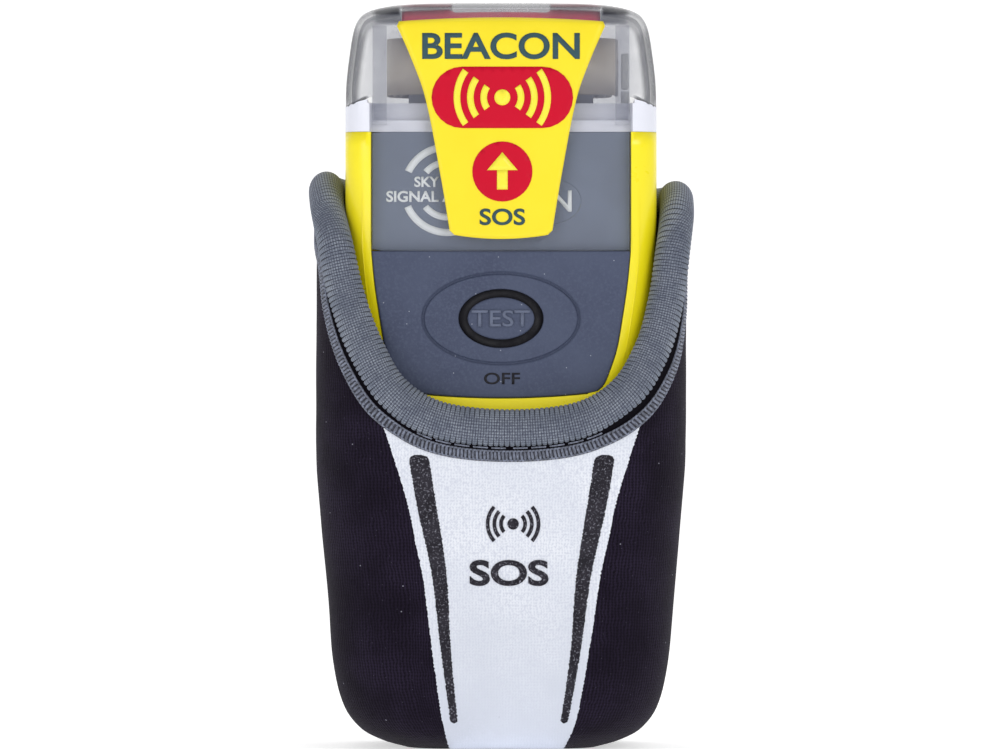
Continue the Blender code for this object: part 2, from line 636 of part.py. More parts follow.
def make_feed_spring():
    """Coil spring that carries the signal up through the deck."""
    turns, per_turn, coil_radius, wire_radius = 5, 8, 0.0013, 0.0002
    low, high = 0.0870, 0.0969
    steps = turns * per_turn
    route = [(0.0060 + coil_radius * math.cos(2 * math.pi * step / per_turn),
              -0.0040 + coil_radius * math.sin(2 * math.pi * step / per_turn),
              low + (high - low) * step / steps) for step in range(steps + 1)]
    tube("antenna_feed_spring", route, wire_radius, False, TIN)


def make_battery():
    """Two cells side by side in a tray, with their contact plates."""
    cell_top = CELL_BOTTOM + CELL_HEIGHT
    nub_radius, nub_height, shoulder = 0.0032, 0.0012, 0.0006
    for name, x in (("battery_cell_left", -CELL_SPREAD), ("battery_cell_right", CELL_SPREAD)):
        body_top = cell_top - nub_height
        profile = ((0.0, cell_top), (nub_radius, cell_top), (nub_radius, body_top),
                   (CELL_RADIUS - shoulder, body_top), (CELL_RADIUS, body_top - shoulder),
                   (CELL_RADIUS, CELL_BOTTOM), (0.0, CELL_BOTTOM))
        turned(name, (x, CELL_Y), profile, CELL)
    plate = 0.0006
    link_top = CELL_BOTTOM - GAP
    box("cell_link", (-0.0130, -0.0020, link_top - plate), (0.0130, 0.0080, link_top), TIN)
    contact_low = cell_top + GAP
    for name, x in (("cell_contact_left", -CELL_SPREAD), ("cell_contact_right", CELL_SPREAD)):
        box(name, (x - 0.0040, -0.0020, contact_low), (x + 0.0040, 0.0080, contact_low + plate), TIN)
    ledge = 0.0012
    low, high = link_top - plate - GAP - ledge, contact_low + plate + GAP + ledge
    front, back, wall = -0.0050, 0.0130, 0.0012
    tray = box("battery_tray", (-TRAY_HALF_WIDTH, front, low), (TRAY_HALF_WIDTH, back, high), TRAY)
    boolean(tray, box("tray_hollow", (-0.02, front - 0.001, low + ledge), (0.02, back - wall, high - ledge)))


# --- Antenna ----------------------------------------------------------------
def oval_point(turn, grow, z):
    """A point on the antenna head's squarish oval, grown outwards."""
    squareness = 2 / 3.2
    across, along = math.cos(turn), math.sin(turn)
    return ((HEAD_RADII[0] + grow) * math.copysign(abs(across) ** squareness, across),
            (HEAD_RADII[1] + grow) * math.copysign(abs(along) ** squareness, along), z)


def make_antenna():
    """Head moulding, the flat tape wound round it and the red pull tab on top."""
    steps = 32
    bottom, chamfer = COLLAR_TOP + GAP, 0.0008
    rings = [[oval_point(2 * math.pi * step / steps, grow, z) for step in range(steps)]
             for z, grow in ((bottom, 0.0), (HEAD_TOP - chamfer, 0.0), (HEAD_TOP, -chamfer))]
    loft("antenna_head", rings, HEAD)

    per_turn, first_gap = 30, 0.0007
    bm = bmesh.new()
    rows = []
    for step in range(TAPE_TURNS * per_turn + 1):
        turn = 2 * math.pi * step / per_turn
        grow = first_gap + TAPE_PITCH * step / per_turn
        rows.append([bm.verts.new(oval_point(turn, grow, z)) for z in (TAPE_BOTTOM, TAPE_TOP)])
    for (low, high), (next_low, next_high) in zip(rows, rows[1:]):
        bm.faces.new((low, next_low, next_high, high))
    tape = add_object("antenna_tape", mesh_from("antenna_tape", bm), TAPE)
    thick = tape.modifiers.new("thick", "SOLIDIFY")
    thick.thickness = TAPE_THICKNESS
    thick.offset = 0.0

    box("antenna_end_tab", (-0.0130, -0.0085, HEAD_TOP + GAP), (0.0130, 0.0085, HEAD_TOP + 0.0010), RED)
    led_top, lens_top = 0.0992, 0.1050
    box("strobe_led", (0.0182, -0.0020, COLLAR_TOP + GAP), (0.0194, 0.0020, led_top), LENS)
    box("strobe_lens", (0.0182, -0.0018, led_top + GAP), (0.0194, 0.0018, lens_top), LENS, bevel=0.0003)


def make_screws():
    """Four machine screws let into the rear casing."""
    for number, (x, z) in enumerate(SCREWS, 1):
        name = f"case_screw_{number}"
        screw = rod_y(name, (x, z), SCREW_HEAD_RADIUS, SCREW_HEAD_FRONT, SCREW_HEAD_BACK, STEEL, 16)
        overlap = 0.0002
        boolean(screw, rod_y(name + "_shaft", (x, z), SCREW_SHAFT_RADIUS, SCREW_TIP,
                             SCREW_HEAD_FRONT + overlap, sides=12), "UNION")
        slot_half, slot_depth = 0.0003, 0.0006
        boolean(screw, box(name + "_slot", (x - 0.003, SCREW_HEAD_BACK - slot_depth, z - slot_half),
                           (x + 0.003, 0.02, z + slot_half)))


# --- Assembly ---------------------------------------------------------------
def carry(name, location, children, parent=None):
    """An empty on a joint that carries its pieces."""
    holder = bpy.data.objects.new(name, None)
    holder.location = location
    parts.objects.link(holder)
    if parent:
        holder.parent = parent
        holder.matrix_parent_inverse = Matrix.Translation(-Vector(parent.location))
    for child in children:
        piece = bpy.data.objects[child]
        piece.parent = holder
        piece.matrix_parent_inverse = Matrix.Translation(-Vector(location))
    return holder


make_pouch()
make_front_case()
make_rear_case()
make_case_seal()
make_collar()
make_panels()
make_cap()
make_buttons()
make_board()
make_feed_spring()
make_battery()
make_antenna()
make_screws()

test_axis = (TEST_CENTRE[0], -BEACON_FRONT, TEST_CENTRE[1])
on_axis = (ON_CENTRE[0], -BEACON_FRONT, ON_CENTRE[1])
moving = ("pouch_shell", "edge_binding", "belt_loop", "clear_cap", "cap_label",
          "test_button", "test_plunger", "on_button", "on_plunger")
fixed = [piece.name for piece in parts.objects if piece.name not in moving]
beacon = carry("beacon_lift", (0.0, 0.0, BEACON_BOTTOM), fixed)
carry("cap_lift", (0.0, 0.0, TONGUE_BOTTOM), ("clear_cap", "cap_label"), beacon)
carry("test_travel", test_axis, ("test_button", "test_plunger"), beacon)
carry("on_travel", on_axis, ("on_button", "on_plunger"), beacon)
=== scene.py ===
"""Looks of the emergency position beacon in its carry pouch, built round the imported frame.

Everything is in metres in the CAD frame: +Z up, the front faces -Y, the pouch stands on z = 0.
"""
import bisect
import math

import bmesh
import bpy
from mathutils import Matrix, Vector, noise


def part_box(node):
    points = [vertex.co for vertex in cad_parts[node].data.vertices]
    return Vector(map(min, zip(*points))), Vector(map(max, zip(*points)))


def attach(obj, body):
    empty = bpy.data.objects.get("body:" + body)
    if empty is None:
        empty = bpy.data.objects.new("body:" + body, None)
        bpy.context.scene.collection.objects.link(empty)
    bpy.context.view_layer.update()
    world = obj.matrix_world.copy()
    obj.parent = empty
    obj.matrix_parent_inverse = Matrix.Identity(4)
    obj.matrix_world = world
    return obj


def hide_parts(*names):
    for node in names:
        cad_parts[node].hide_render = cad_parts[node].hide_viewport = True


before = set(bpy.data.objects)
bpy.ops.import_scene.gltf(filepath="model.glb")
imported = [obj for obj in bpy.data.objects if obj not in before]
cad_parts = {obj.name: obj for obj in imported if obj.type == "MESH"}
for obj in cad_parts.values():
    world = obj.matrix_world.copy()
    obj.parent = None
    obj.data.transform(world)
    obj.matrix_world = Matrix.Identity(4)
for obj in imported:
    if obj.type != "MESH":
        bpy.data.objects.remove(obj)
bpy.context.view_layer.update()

# --- Sizes from the frame ----------------------------------------------------
CASE_LOW, CASE_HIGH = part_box("front_case")
CAP_LOW, CAP_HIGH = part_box("clear_cap")
PANEL_LOW, PANEL_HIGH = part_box("upper_panel")
_, KEYPAD_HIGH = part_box("keypad_panel")
TEST_LOW, TEST_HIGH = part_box("test_button")
ON_LOW, ON_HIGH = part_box("on_button")
COLLAR_LOW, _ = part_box("white_collar")
LOOP_LOW, LOOP_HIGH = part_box("belt_loop")
TEST_CENTRE = ((TEST_LOW.x + TEST_HIGH.x) / 2, (TEST_LOW.z + TEST_HIGH.z) / 2)
ON_CENTRE = ((ON_LOW.x + ON_HIGH.x) / 2, (ON_LOW.z + ON_HIGH.z) / 2)
ON_MARGIN = 0.00022                     # the ON key is drawn this much past its box
ON_RADII = ((ON_HIGH.x - ON_LOW.x) / 2 + ON_MARGIN, (ON_HIGH.z - ON_LOW.z) / 2 + ON_MARGIN)
KEYPAD_TOP = KEYPAD_HIGH.z + 0.00012
KEYPAD_BOW = 0.0007                     # how far the keypad's lower edge bows down
FRONT = CASE_LOW.y                      # the casing's and the tongue's front face
CASE_TOP = CASE_HIGH.z
HAIR = 0.00004                          # how far a print stands off what it is printed on
WELD = 0.000001                         # points this close are one
TINY = 1e-9                             # keeps a division off zero
CAP_FAR = 0.01                          # the cap's uv where its lower rim is not near
RIB_PITCH = 0.00078                     # one rib of the binding, two wales of its knit
RIB_STEPS = 6                           # rows of the binding's mesh to one rib
BINDING_AROUND = 0.0176                 # round the binding's section

# --- Shapes that the frame's boxes don't give --------------------------------
# Stations: z, half width, depth to the front, depth to the back, front and back radius.
CASE_STATIONS = (
    (0.0056, 0.0120, 0.0110, 0.0110, 0.0060, 0.0060),
    (0.0062, 0.0142, 0.0132, 0.0132, 0.0070, 0.0070),
    (0.0080, 0.0166, 0.0152, 0.0152, 0.0080, 0.0080),
    (0.0120, 0.0190, 0.0167, 0.0167, 0.0085, 0.0080),
    (0.0250, 0.0208, 0.0170, 0.0170, 0.0085, 0.0080),
    (0.0520, 0.0225, 0.0170, 0.0170, 0.0085, 0.0080),
    (0.0750, 0.0233, 0.0170, 0.0170, 0.0058, 0.0080),
    (0.0880, 0.0234, 0.0170, 0.0170, 0.0045, 0.0080),
    (CASE_TOP, 0.0234, 0.0170, 0.0170, 0.0045, 0.0080),
)
CAP_STATIONS = (
    (CAP_LOW.z, 0.0234, 0.0170, 0.0170, 0.0045, 0.0080),
    (0.0990, 0.0233, 0.0170, 0.0170, 0.0045, 0.0080),
    (0.1055, 0.0226, 0.0170, 0.0168, 0.0045, 0.0078),
    (0.1085, 0.0220, 0.0166, 0.0164, 0.0045, 0.0075),
    (0.1100, 0.0212, 0.0159, 0.0158, 0.0045, 0.0070),
    (0.1108, 0.0202, 0.0150, 0.0149, 0.0045, 0.0065),
    (0.1115, 0.0183, 0.0135, 0.0134, 0.0045, 0.0060),
    (0.1121, 0.0146, 0.0108, 0.0108, 0.0040, 0.0050),
    (CAP_HIGH.z, 0.0085, 0.0064, 0.0064, 0.0030, 0.0030),
)
POUCH_STATIONS = (
    (0.0000, 0.0142, 0.0115, 0.0120, 0.0075, 0.0080),
    (0.0010, 0.0176, 0.0146, 0.0152, 0.0090, 0.0095),
    (0.0027, 0.0209, 0.0172, 0.0178, 0.0105, 0.0105),
    (0.0062, 0.0236, 0.0193, 0.0200, 0.0115, 0.0110),
    (0.0127, 0.0252, 0.0211, 0.0213, 0.0120, 0.0115),
    (0.0220, 0.0260, 0.0213, 0.0213, 0.0125, 0.0115),
    (0.0370, 0.0273, 0.0213, 0.0213, 0.0125, 0.0115),
    (0.0450, 0.0278, 0.0213, 0.0213, 0.0125, 0.0115),
    (0.0750, 0.0278, 0.0213, 0.0213, 0.0100, 0.0115),
    (0.0880, 0.0279, 0.0213, 0.0213, 0.0095, 0.0115),
)
POUCH_WALL = 0.0038
POUCH_FLOOR = 0.0052
SIM_SCALE = 20.0                        # the cloth is simulated this much larger
SWELL_LOW, SWELL_HIGH = 0.0030, 0.0840  # heights between which the cloth can swell
SWELL = []                              # filled by simulate_swell()
# The mouth's rim: the front scoop as (across, height), then the side's shoulder and the back.
RIM_SCOOP = ((0.0, 0.0479), (0.0107, 0.0491), (0.0175, 0.0532), (0.0215, 0.0599),
             (0.0239, 0.0675), (0.0253, 0.0750))
RIM_SHOULDER = ((0.0262, -0.0112, 0.0802), (0.0265, -0.0050, 0.0829), (0.0265, 0.0030, 0.0835),
                (0.0262, 0.0110, 0.0831), (0.0226, 0.0176, 0.0825), (0.0140, 0.0200, 0.0822))
RIM_BACK = (0.0, 0.0200, 0.0821)
RIM_LEVEL, RIM_TOP = 0.0580, 0.0842     # the rim starts to lean at the first and leans fully at the second
RIM_TWIST = 0.0013                      # sideways shift of its scoop
RIM_TILT = 0.028                        # rise for each metre to the left
RIM_CLEARANCE = 0.0030                  # from the casing to the binding's middle
# Half widths by height.
KEYPAD_EDGE = ((0.0535, 0.0130), (0.0537, 0.0141), (0.0541, 0.0148), (0.0549, 0.0155), (0.0572, 0.0164),
               (0.0600, 0.0173), (0.0645, 0.0181), (0.0700, 0.0189), (0.0752, 0.0194))
LABEL_EDGE = ((0.0772, 0.0076), (0.0857, 0.0090), (0.0979, 0.0114), (0.1040, 0.0136), (0.1092, 0.0159))
PRINT_EDGE = ((0.0000, 0.0086), (0.0040, 0.0099), (0.0075, 0.01056), (0.0152, 0.01175), (0.0264, 0.0133),
              (0.0312, 0.01435), (0.0370, 0.01555), (0.0443, 0.01775), (0.0484, 0.0191))
PRINT_CENTRE = ((0.0000, 0.0008), (0.0040, 0.0012), (0.0190, 0.0015), (0.0300, 0.0016))
STRIPE_CENTRE = ((0.0040, 0.0082), (0.0152, 0.0097), (0.0264, 0.0108), (0.0370, 0.01275), (0.0440, 0.0139))
STRIPE_WIDTH = ((0.0045, 0.0011), (0.0078, 0.0012), (0.0152, 0.0015), (0.0264, 0.0022), (0.0370, 0.0029),
                (0.0438, 0.0030))


def curve_at(points, at):
    """Smooth value through (place, value) points, level past both ends."""
    last = len(points) - 1
    if at <= points[0][0]:
        return points[0][1]
    if at >= points[last][0]:
        return points[last][1]
    i = max(k for k in range(last) if points[k][0] <= at)
    before, after = points[max(i - 1, 0)], points[min(i + 2, last)]
    (a, start), (b, end) = points[i], points[i + 1]
    span = b - a
    leave = (end - before[1]) / (b - before[0]) * span
    arrive = (after[1] - start) / (after[0] - a) * span
    t = (at - a) / span
    return ((2 * t ** 3 - 3 * t ** 2 + 1) * start + (t ** 3 - 2 * t ** 2 + t) * leave
            + (3 * t ** 2 - 2 * t ** 3) * end + (t ** 3 - t ** 2) * arrive)


def station_at(stations, z):
    """Half width, front depth, back depth, front radius and back radius at a height."""
    return [curve_at([(s[0], s[k]) for s in stations], z) for k in range(1, 6)]


def smoothstep(low, high, value):
    """0 below low, 1 above high, smooth between."""
    t = min(max((value - low) / (high - low), 0.0), 1.0)
    return t * t * (3 - 2 * t)


def front_face(section, x):
    """The y of a plan outline's front at x, held level from just short of its corners' ends."""
    half_width, front, _, radius, _ = section
    past = min(max(abs(x) - (half_width - radius), 0.0), radius * 0.98)
    return -(front - radius) - math.sqrt(radius ** 2 - past ** 2)


def plan_ring(section, spans):
    """Rounded-box outline as (x, y, nx, ny), anticlockwise from the middle of the back.

    spans counts the steps along half the back, a back corner, a side, a front corner and the front."""
    half_width, front, back, front_radius, back_radius = section
    back_steps, back_corner, side_steps, front_corner, front_steps = spans
    flat_back, flat_front = half_width - back_radius, half_width - front_radius
    ring = []

    def line(start, end, normal, steps):
        for k in range(steps):
            t = k / steps
            ring.append((start[0] + (end[0] - start[0]) * t, start[1] + (end[1] - start[1]) * t, *normal))

    def arc(centre, radius, start, steps):
        for k in range(steps):
            angle = start + math.pi / 2 * k / steps
            across, along = math.cos(angle), math.sin(angle)
            ring.append((centre[0] + radius * across, centre[1] + radius * along, across, along))

    line((0, back), (-flat_back, back), (0, 1), back_steps)
    arc((-flat_back, back - back_radius), back_radius, math.pi / 2, back_corner)
    line((-half_width, back - back_radius), (-half_width, front_radius - front), (-1, 0), side_steps)
    arc((-flat_front, front_radius - front), front_radius, math.pi, front_corner)
    line((-flat_front, -front), (flat_front, -front), (0, -1), front_steps)
    arc((flat_front, front_radius - front), front_radius, 3 * math.pi / 2, front_corner)
    line((half_width, front_radius - front), (half_width, back - back_radius), (1, 0), side_steps)
    arc((flat_back, back - back_radius), back_radius, 0.0, back_corner)
    line((flat_back, back), (0, back), (0, 1), back_steps)
    return ring


def outline_at(stations, z, spans):
    """The plan outline of some stations at a height."""
    return plan_ring(station_at(stations, z), spans)


def resample(path, count):
    """A line's points at equal steps, both ends included."""
    lengths = [0.0]
    for a, b in zip(path, path[1:]):
        lengths.append(lengths[-1] + (b - a).length)
    made, at = [], 0
    for k in range(count + 1):
        target = lengths[-1] * k / count
        while at < len(path) - 2 and lengths[at + 1] < target:
            at += 1
        share = (target - lengths[at]) / max(lengths[at + 1] - lengths[at], TINY)
        made.append(path[at].lerp(path[at + 1], min(max(share, 0.0), 1.0)))
    return made


def ring_of_readings(readings):
    """(angle, value) readings in order, with the end ones repeated a whole turn away."""
    ring, turn = sorted(readings), 2 * math.pi
    return [(ring[-1][0] - turn, ring[-1][1])] + ring + [(ring[0][0] + turn, ring[0][1])]


def read_ring(ring, x, y):
    """The value in the direction of (x, y), between the two nearest readings."""
    angle = math.atan2(y, x)
    at = bisect.bisect_right(ring, (angle, math.inf))
    (a, low), (b, high) = ring[at - 1], ring[at]
    return low + (high - low) * (angle - a) / max(b - a, TINY)


def grid_object(name, rows, wrap, caps=False, uv=None, flip=False):
    """Skin rows of points with quads. wrap joins each row's ends, caps fills the first and last row.

    uv gives one (u, v) in metres for a row and column number."""
    bm = bmesh.new()
    made = [[bm.verts.new(point) for point in row] for row in rows]
    layer = bm.loops.layers.uv.new("cloth") if uv else None
    columns = len(rows[0])
    for r in range(len(rows) - 1):
        for c in range(columns if wrap else columns - 1):
            d = (c + 1) % columns
            corners = [(r, c), (r, c + 1), (r + 1, c + 1), (r + 1, c)]
            verts = [made[r][c], made[r][d], made[r + 1][d], made[r + 1][c]]
            if flip:
                corners.reverse()
                verts.reverse()
            face = bm.faces.new(verts)
            if uv:
                for loop, corner in zip(face.loops, corners):
                    loop[layer].uv = uv(*corner)
    if caps:
        first, final = bm.faces.new(made[0][::-1]), bm.faces.new(made[-1])
        bmesh.ops.triangulate(bm, faces=[first, final])
    return object_from(name, bm)


def object_from(name, bm, sharp=40):
    """An object from a bmesh, shaded smooth up to an angle in degrees."""
    mesh = bpy.data.meshes.new(name)
    bm.to_mesh(mesh)
    bm.free()
    mesh.shade_smooth()
    mesh.set_sharp_from_angle(angle=math.radians(sharp))
    made = bpy.data.objects.new(name, mesh)
    bpy.context.scene.collection.objects.link(made)
    return made


def modify(piece, name, kind, **settings):
    """Add a modifier with these settings."""
    made = piece.modifiers.new(name, kind)
    for label, value in settings.items():
        setattr(made, label, value)


def finish_piece(piece, surface, body, replaces=()):
    """Give a piece its material and body, and hide the nodes it stands for."""
    piece.data.materials.clear()
    piece.data.materials.append(surface)
    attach(piece, body)
    if replaces:
        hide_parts(*replaces)


# --- Materials ---------------------------------------------------------------
def rgb(red, green, blue):
    """Linear colour of 0 to 255 display values."""
    def linear(value):
        share = value / 255
        return share / 12.92 if share <= 0.04045 else ((share + 0.055) / 1.055) ** 2.4
    return (linear(red), linear(green), linear(blue), 1.0)


class Surface:
    """One material's node tree. The methods add a node and return its output socket."""

    def __init__(self, name, color, roughness, **fixed):
        self.material = bpy.data.materials.new(name)
        self.material.use_nodes = True
        self.tree = self.material.node_tree
        self.shader = self.tree.nodes["Principled BSDF"]
        self.shader.inputs["Base Color"].default_value = color
        self.shader.inputs["Roughness"].default_value = roughness
        for label, value in fixed.items():
            self.shader.inputs[label.replace("_", " ")].default_value = value
        self.material.diffuse_color = color
        self.color = color

    def add(self, kind, sockets=(), **settings):
        """A node with its inputs linked or set, by name or number."""
        made = self.tree.nodes.new("ShaderNode" + kind)
        for label, value in settings.items():
            setattr(made, label, value)
        for label, value in dict(sockets).items():
            if isinstance(value, bpy.types.NodeSocket):
                self.tree.links.new(value, made.inputs[label])
            else:
                made.inputs[label].default_value = value
        return made

    def place(self, kind="Object"):
        return self.add("TexCoord").outputs[kind]

    def axis(self, source, name):
        return self.add("SeparateXYZ", {0: source}).outputs[name]

    def math(self, operation, a, b=0.0, c=0.0):
        return self.add("Math", {0: a, 1: b, 2: c}, operation=operation).outputs[0]

    def absolute(self, value):
        return self.math("ABSOLUTE", value)

    def sine(self, value, wavelength):
        return self.math("SINE", self.math("MULTIPLY", value, 2 * math.pi / wavelength))

    def plus(self, a, b):
        return self.math("ADD", a, b)

    def times(self, first, *others):
        for other in others:
            first = self.math("MULTIPLY", first, other)
        return first

    def times_plus(self, value, factor, added):
        return self.math("MULTIPLY_ADD", value, factor, added)

    def largest(self, first, *others):
        for other in others:
            first = self.math("MAXIMUM", first, other)
        return first

    def noise(self, size, detail=3.0, rough=0.55):
        """Noise with features of about the given size in metres."""
        return self.add("TexNoise", {"Vector": self.place(), "Scale": 1 / size, "Detail": detail,
                                     "Roughness": rough}).outputs["Fac"]

    def between(self, value, low, high, to_low=0.0, to_high=1.0):
        """Smooth step from to_low at low to to_high at high."""
        return self.add("MapRange", {"Value": value, "From Min": low, "From Max": high, "To Min": to_low,
                                     "To Max": to_high}, interpolation_type="SMOOTHSTEP").outputs[0]

    def inside(self, value, full, gone):
        """1 up to one value, 0 from the next."""
        return self.between(value, full, gone, 1.0, 0.0)

    def mix(self, share, low, high):
        return self.add("Mix", {0: share, 6: low, 7: high}, data_type="RGBA").outputs[2]

    def clouds(self, size, detail, levels, low, high):
        """Noise of a size that runs from the low colour to the high one between two of its levels."""
        return self.mix(self.between(self.noise(size, detail), *levels), low, high)

    def specks(self, plane, spacing, size, share, strength):
        """The strength on sparse round specks in flat coordinates: share of the cells hold one."""
        cells = self.add("TexVoronoi", {"Vector": plane, "Scale": 1 / spacing}, voronoi_dimensions="2D")
        near = self.inside(cells.outputs["Distance"], size * 0.6 / spacing, size / spacing)
        chosen = self.math("GREATER_THAN", self.axis(cells.outputs["Color"], 0), 1 - share)
        return self.times(near, chosen, strength)

    def set_color(self, socket):
        self.tree.links.new(socket, self.shader.inputs["Base Color"])

    def set_roughness(self, socket):
        self.tree.links.new(socket, self.shader.inputs["Roughness"])

    def set_bump(self, height, depth, strength=1.0):
        """Bump from a 0 to 1 height over a depth in metres."""
        bump = self.add("Bump", {"Height": height, "Distance": depth, "Strength": strength})
        self.tree.links.new(bump.outputs[0], self.shader.inputs["Normal"])

    def vary(self, size, darker, lighter):
        """Colour drifting between a darker and a lighter share of the base colour."""
        red, green, blue, alpha = self.color
        low, high = ((min(red * share, 1.0), min(green * share, 1.0), min(blue * share, 1.0), alpha)
                     for share in (darker, lighter))
        return self.clouds(size, 3.0, (0.35, 0.65), low, high)


def knit_height(surface, across, along, wale, course):
    """Height of a plain knit: rounded wales, faintly crossed by courses and never quite regular."""
    stray = surface.times_plus(surface.noise(0.0016, 2.0), wale * 1.6, wale * -0.8)
    wave = surface.sine(surface.plus(across, stray), wale)
    bow = surface.times(surface.absolute(wave), course * 0.45)
    sag = surface.plus(surface.plus(along, bow), stray)
    rib = surface.times_plus(surface.sine(sag, course), 0.16, 0.30)
    return surface.plus(rib, surface.times_plus(wave, 0.22, 0.24))


def neoprene_material():
    """Black jersey-faced neoprene with a fine knit and pale lint."""
    cloth = Surface("neoprene", rgb(28, 23, 36), 0.85, Sheen_Weight=0.06, Sheen_Roughness=0.45,
                    Specular_IOR_Level=0.06)
    uv = cloth.place("UV")
    height = knit_height(cloth, cloth.axis(uv, 0), cloth.axis(uv, 1), 0.00050, 0.00046)
    worn = cloth.clouds(0.009, 4.0, (0.32, 0.68), rgb(28, 22, 36), rgb(42, 35, 53))
    # Painted shade: the knit's hollows run darker than its threads.
    shade = cloth.mix(cloth.between(height, 0.10, 0.85), rgb(13, 9, 18), worn)
    dusted = cloth.mix(cloth.specks(uv, 0.0019, 0.00007, 0.35, 0.30), shade, rgb(120, 118, 135))
    cloth.set_color(cloth.mix(cloth.specks(uv, 0.0060, 0.00012, 0.24, 0.50), dusted, rgb(180, 180, 196)))
    cloth.set_bump(height, 0.00010, 0.8)
    return cloth.material


def print_material():
    """Silvery white ink soaked into the knit, a little darker towards the bottom as painted shade where the
    pouch curves under.
    """
    ink = Surface("pouch_ink_white", rgb(226, 230, 241), 0.70, Sheen_Weight=0.05, Specular_IOR_Level=0.15)
    place = ink.place()
    across, along = ink.axis(place, 0), ink.axis(place, 2)
    height = knit_height(ink, across, along, 0.00046, 0.00046)
    # Painted shade: both cloud tones run darker towards the bottom, where the pouch curves under and turns
    # from the light.
    raised = ink.between(along, 0.002, 0.030)
    duller = ink.mix(raised, rgb(203, 208, 220), rgb(223, 227, 237))
    brighter = ink.mix(raised, rgb(211, 216, 228), rgb(233, 236, 244))
    cloudy = ink.clouds(0.008, 5.0, (0.3, 0.7), duller, brighter)
    # Painted shade: the knit's low spots are a little darker.
    threads = ink.mix(ink.between(height, 0.05, 0.60), rgb(204, 209, 222), cloudy)
    grain = ink.clouds(0.00035, 2.0, (0.30, 0.55), rgb(208, 212, 225), threads)
    bare = ink.inside(ink.noise(0.00050, 2.0), 0.20, 0.27)
    ink.set_color(ink.mix(ink.times(bare, 0.35), grain, rgb(128, 130, 146)))
    ink.set_bump(height, 0.00005, 0.4)
    return ink.material


def stripe_material():
    """Black ink worn to speckles where the white shows through."""
    ink = Surface("pouch_ink_black", rgb(46, 44, 51), 0.85, Specular_IOR_Level=0.08)
    worn_through = ink.between(ink.noise(0.00032, 3.0, 0.7), 0.54, 0.70)
    ink.set_color(ink.mix(worn_through, ink.vary(0.003, 0.75, 1.2), rgb(138, 138, 150)))
    ink.set_bump(ink.noise(0.00025, 2.0), 0.00006)
    return ink.material


def binding_material():
    """Grey ribbed knit: flecked fine wales, with dark gaps between paired ribs at the edges; the gaps, the
    dips between the wales and the low loops are darkened as painted shade.
    """
    knit = Surface("binding_knit", rgb(121, 129, 141), 0.85, Sheen_Weight=0.12, Sheen_Roughness=0.4,
                   Specular_IOR_Level=0.12)
    uv = knit.place("UV")
    across, along = knit.axis(uv, 0), knit.axis(uv, 1)
    wale, course = RIB_PITCH / 2, 0.00042

    def ridge(pitch):
        return knit.absolute(knit.sine(across, 2 * pitch))

    loops = knit.times_plus(knit.times(knit.sine(along, course), ridge(wale)), 0.5, 0.5)
    tone = knit.clouds(0.003, 4.0, (0.3, 0.7), rgb(120, 128, 142), rgb(148, 155, 167))
    # The tone turns paler towards the top of the rim.
    paler_up_top = knit.between(knit.axis(knit.place(), 2), 0.0780, 0.0850)
    tone = knit.mix(knit.times(paler_up_top, 0.6), tone, rgb(152, 160, 174))
    # Painted shade: the low loops, the dips between the wales and the gaps between the ribs are darker.
    threads = knit.mix(knit.between(loops, 0.10, 0.80), rgb(102, 108, 122), tone)
    flecks = knit.between(knit.noise(0.00028, 2.0, 0.7), 0.40, 0.58)
    worked = knit.mix(knit.times_plus(flecks, 0.55, 0.45), rgb(72, 76, 94), threads)
    crown = knit.mix(knit.between(ridge(wale), 0.06, 0.55), rgb(42, 42, 57), worked)
    edge = knit.mix(knit.between(ridge(RIB_PITCH), 0.08, 0.42), rgb(20, 20, 29), threads)
    from_back = knit.math("PINGPONG", knit.times(along, 4 / BINDING_AROUND), 2.0)
    knit.set_color(knit.mix(knit.between(from_back, 1.32, 1.76), edge, crown))
    knit.set_bump(loops, 0.00008, 0.7)
    return knit.material


def thread_material(name, color):
    """Twisted sewing thread."""
    thread = Surface(name, color, 0.7, Sheen_Weight=0.3)
    thread.set_color(thread.vary(0.0006, 0.55, 1.25))
    thread.set_bump(thread.noise(0.00018, 2.0), 0.00006)
    return thread.material


def webbing_material():
    """Black woven belt webbing."""
    strap = Surface("webbing", rgb(30, 30, 33), 0.75, Sheen_Weight=0.15)
    uv = strap.place("UV")
    across, along = strap.sine(strap.axis(uv, 0), 0.0015), strap.sine(strap.axis(uv, 1), 0.0011)
    weave = strap.times_plus(strap.times(across, along), 0.5, 0.5)
    # Painted shade: the weave's hollows run near black.
    strap.set_color(strap.mix(weave, rgb(14, 14, 16), strap.vary(0.005, 0.85, 1.3)))
    strap.set_bump(weave, 0.00018)
    return strap.material


def moulded(name, color, roughness, grain=0.0004, depth=0.000012, coat=0.0, spread=0.07, **fixed):
    """Moulded plastic: slight colour drift, handling marks in the gloss and a fine grain."""
    made = Surface(name, color, roughness, Coat_Weight=coat, Coat_Roughness=0.12, **fixed)
    made.set_color(made.vary(0.012, 1 - spread, 1 + spread))
    marks = made.noise(0.003, 5.0, 0.65)
    made.set_roughness(made.between(marks, 0.3, 0.75, roughness * 0.8, min(roughness * 1.35, 1.0)))
    made.set_bump(made.noise(grain, 2.0), depth)
    return made.material


def keypad_material():
    """Matt slate silicone with a velvety grain and pale dust specks."""
    pad = Surface("slate_silicone", rgb(72, 80, 103), 0.60, Specular_IOR_Level=0.25)
    cloudy = pad.clouds(0.014, 4.0, (0.3, 0.7), rgb(68, 75, 98), rgb(77, 85, 108))
    fine = pad.clouds(0.00035, 2.0, (0.42, 0.74), cloudy, rgb(79, 87, 110))
    place = pad.place()
    face = pad.add("CombineXYZ", {0: pad.axis(place, 0), 1: pad.axis(place, 2)}).outputs[0]
    pad.set_color(pad.mix(pad.specks(face, 0.0034, 0.00010, 0.28, 0.55), fine, rgb(196, 202, 216)))
    pad.set_bump(pad.noise(0.00022, 2.0), 0.00003)
    return pad.material


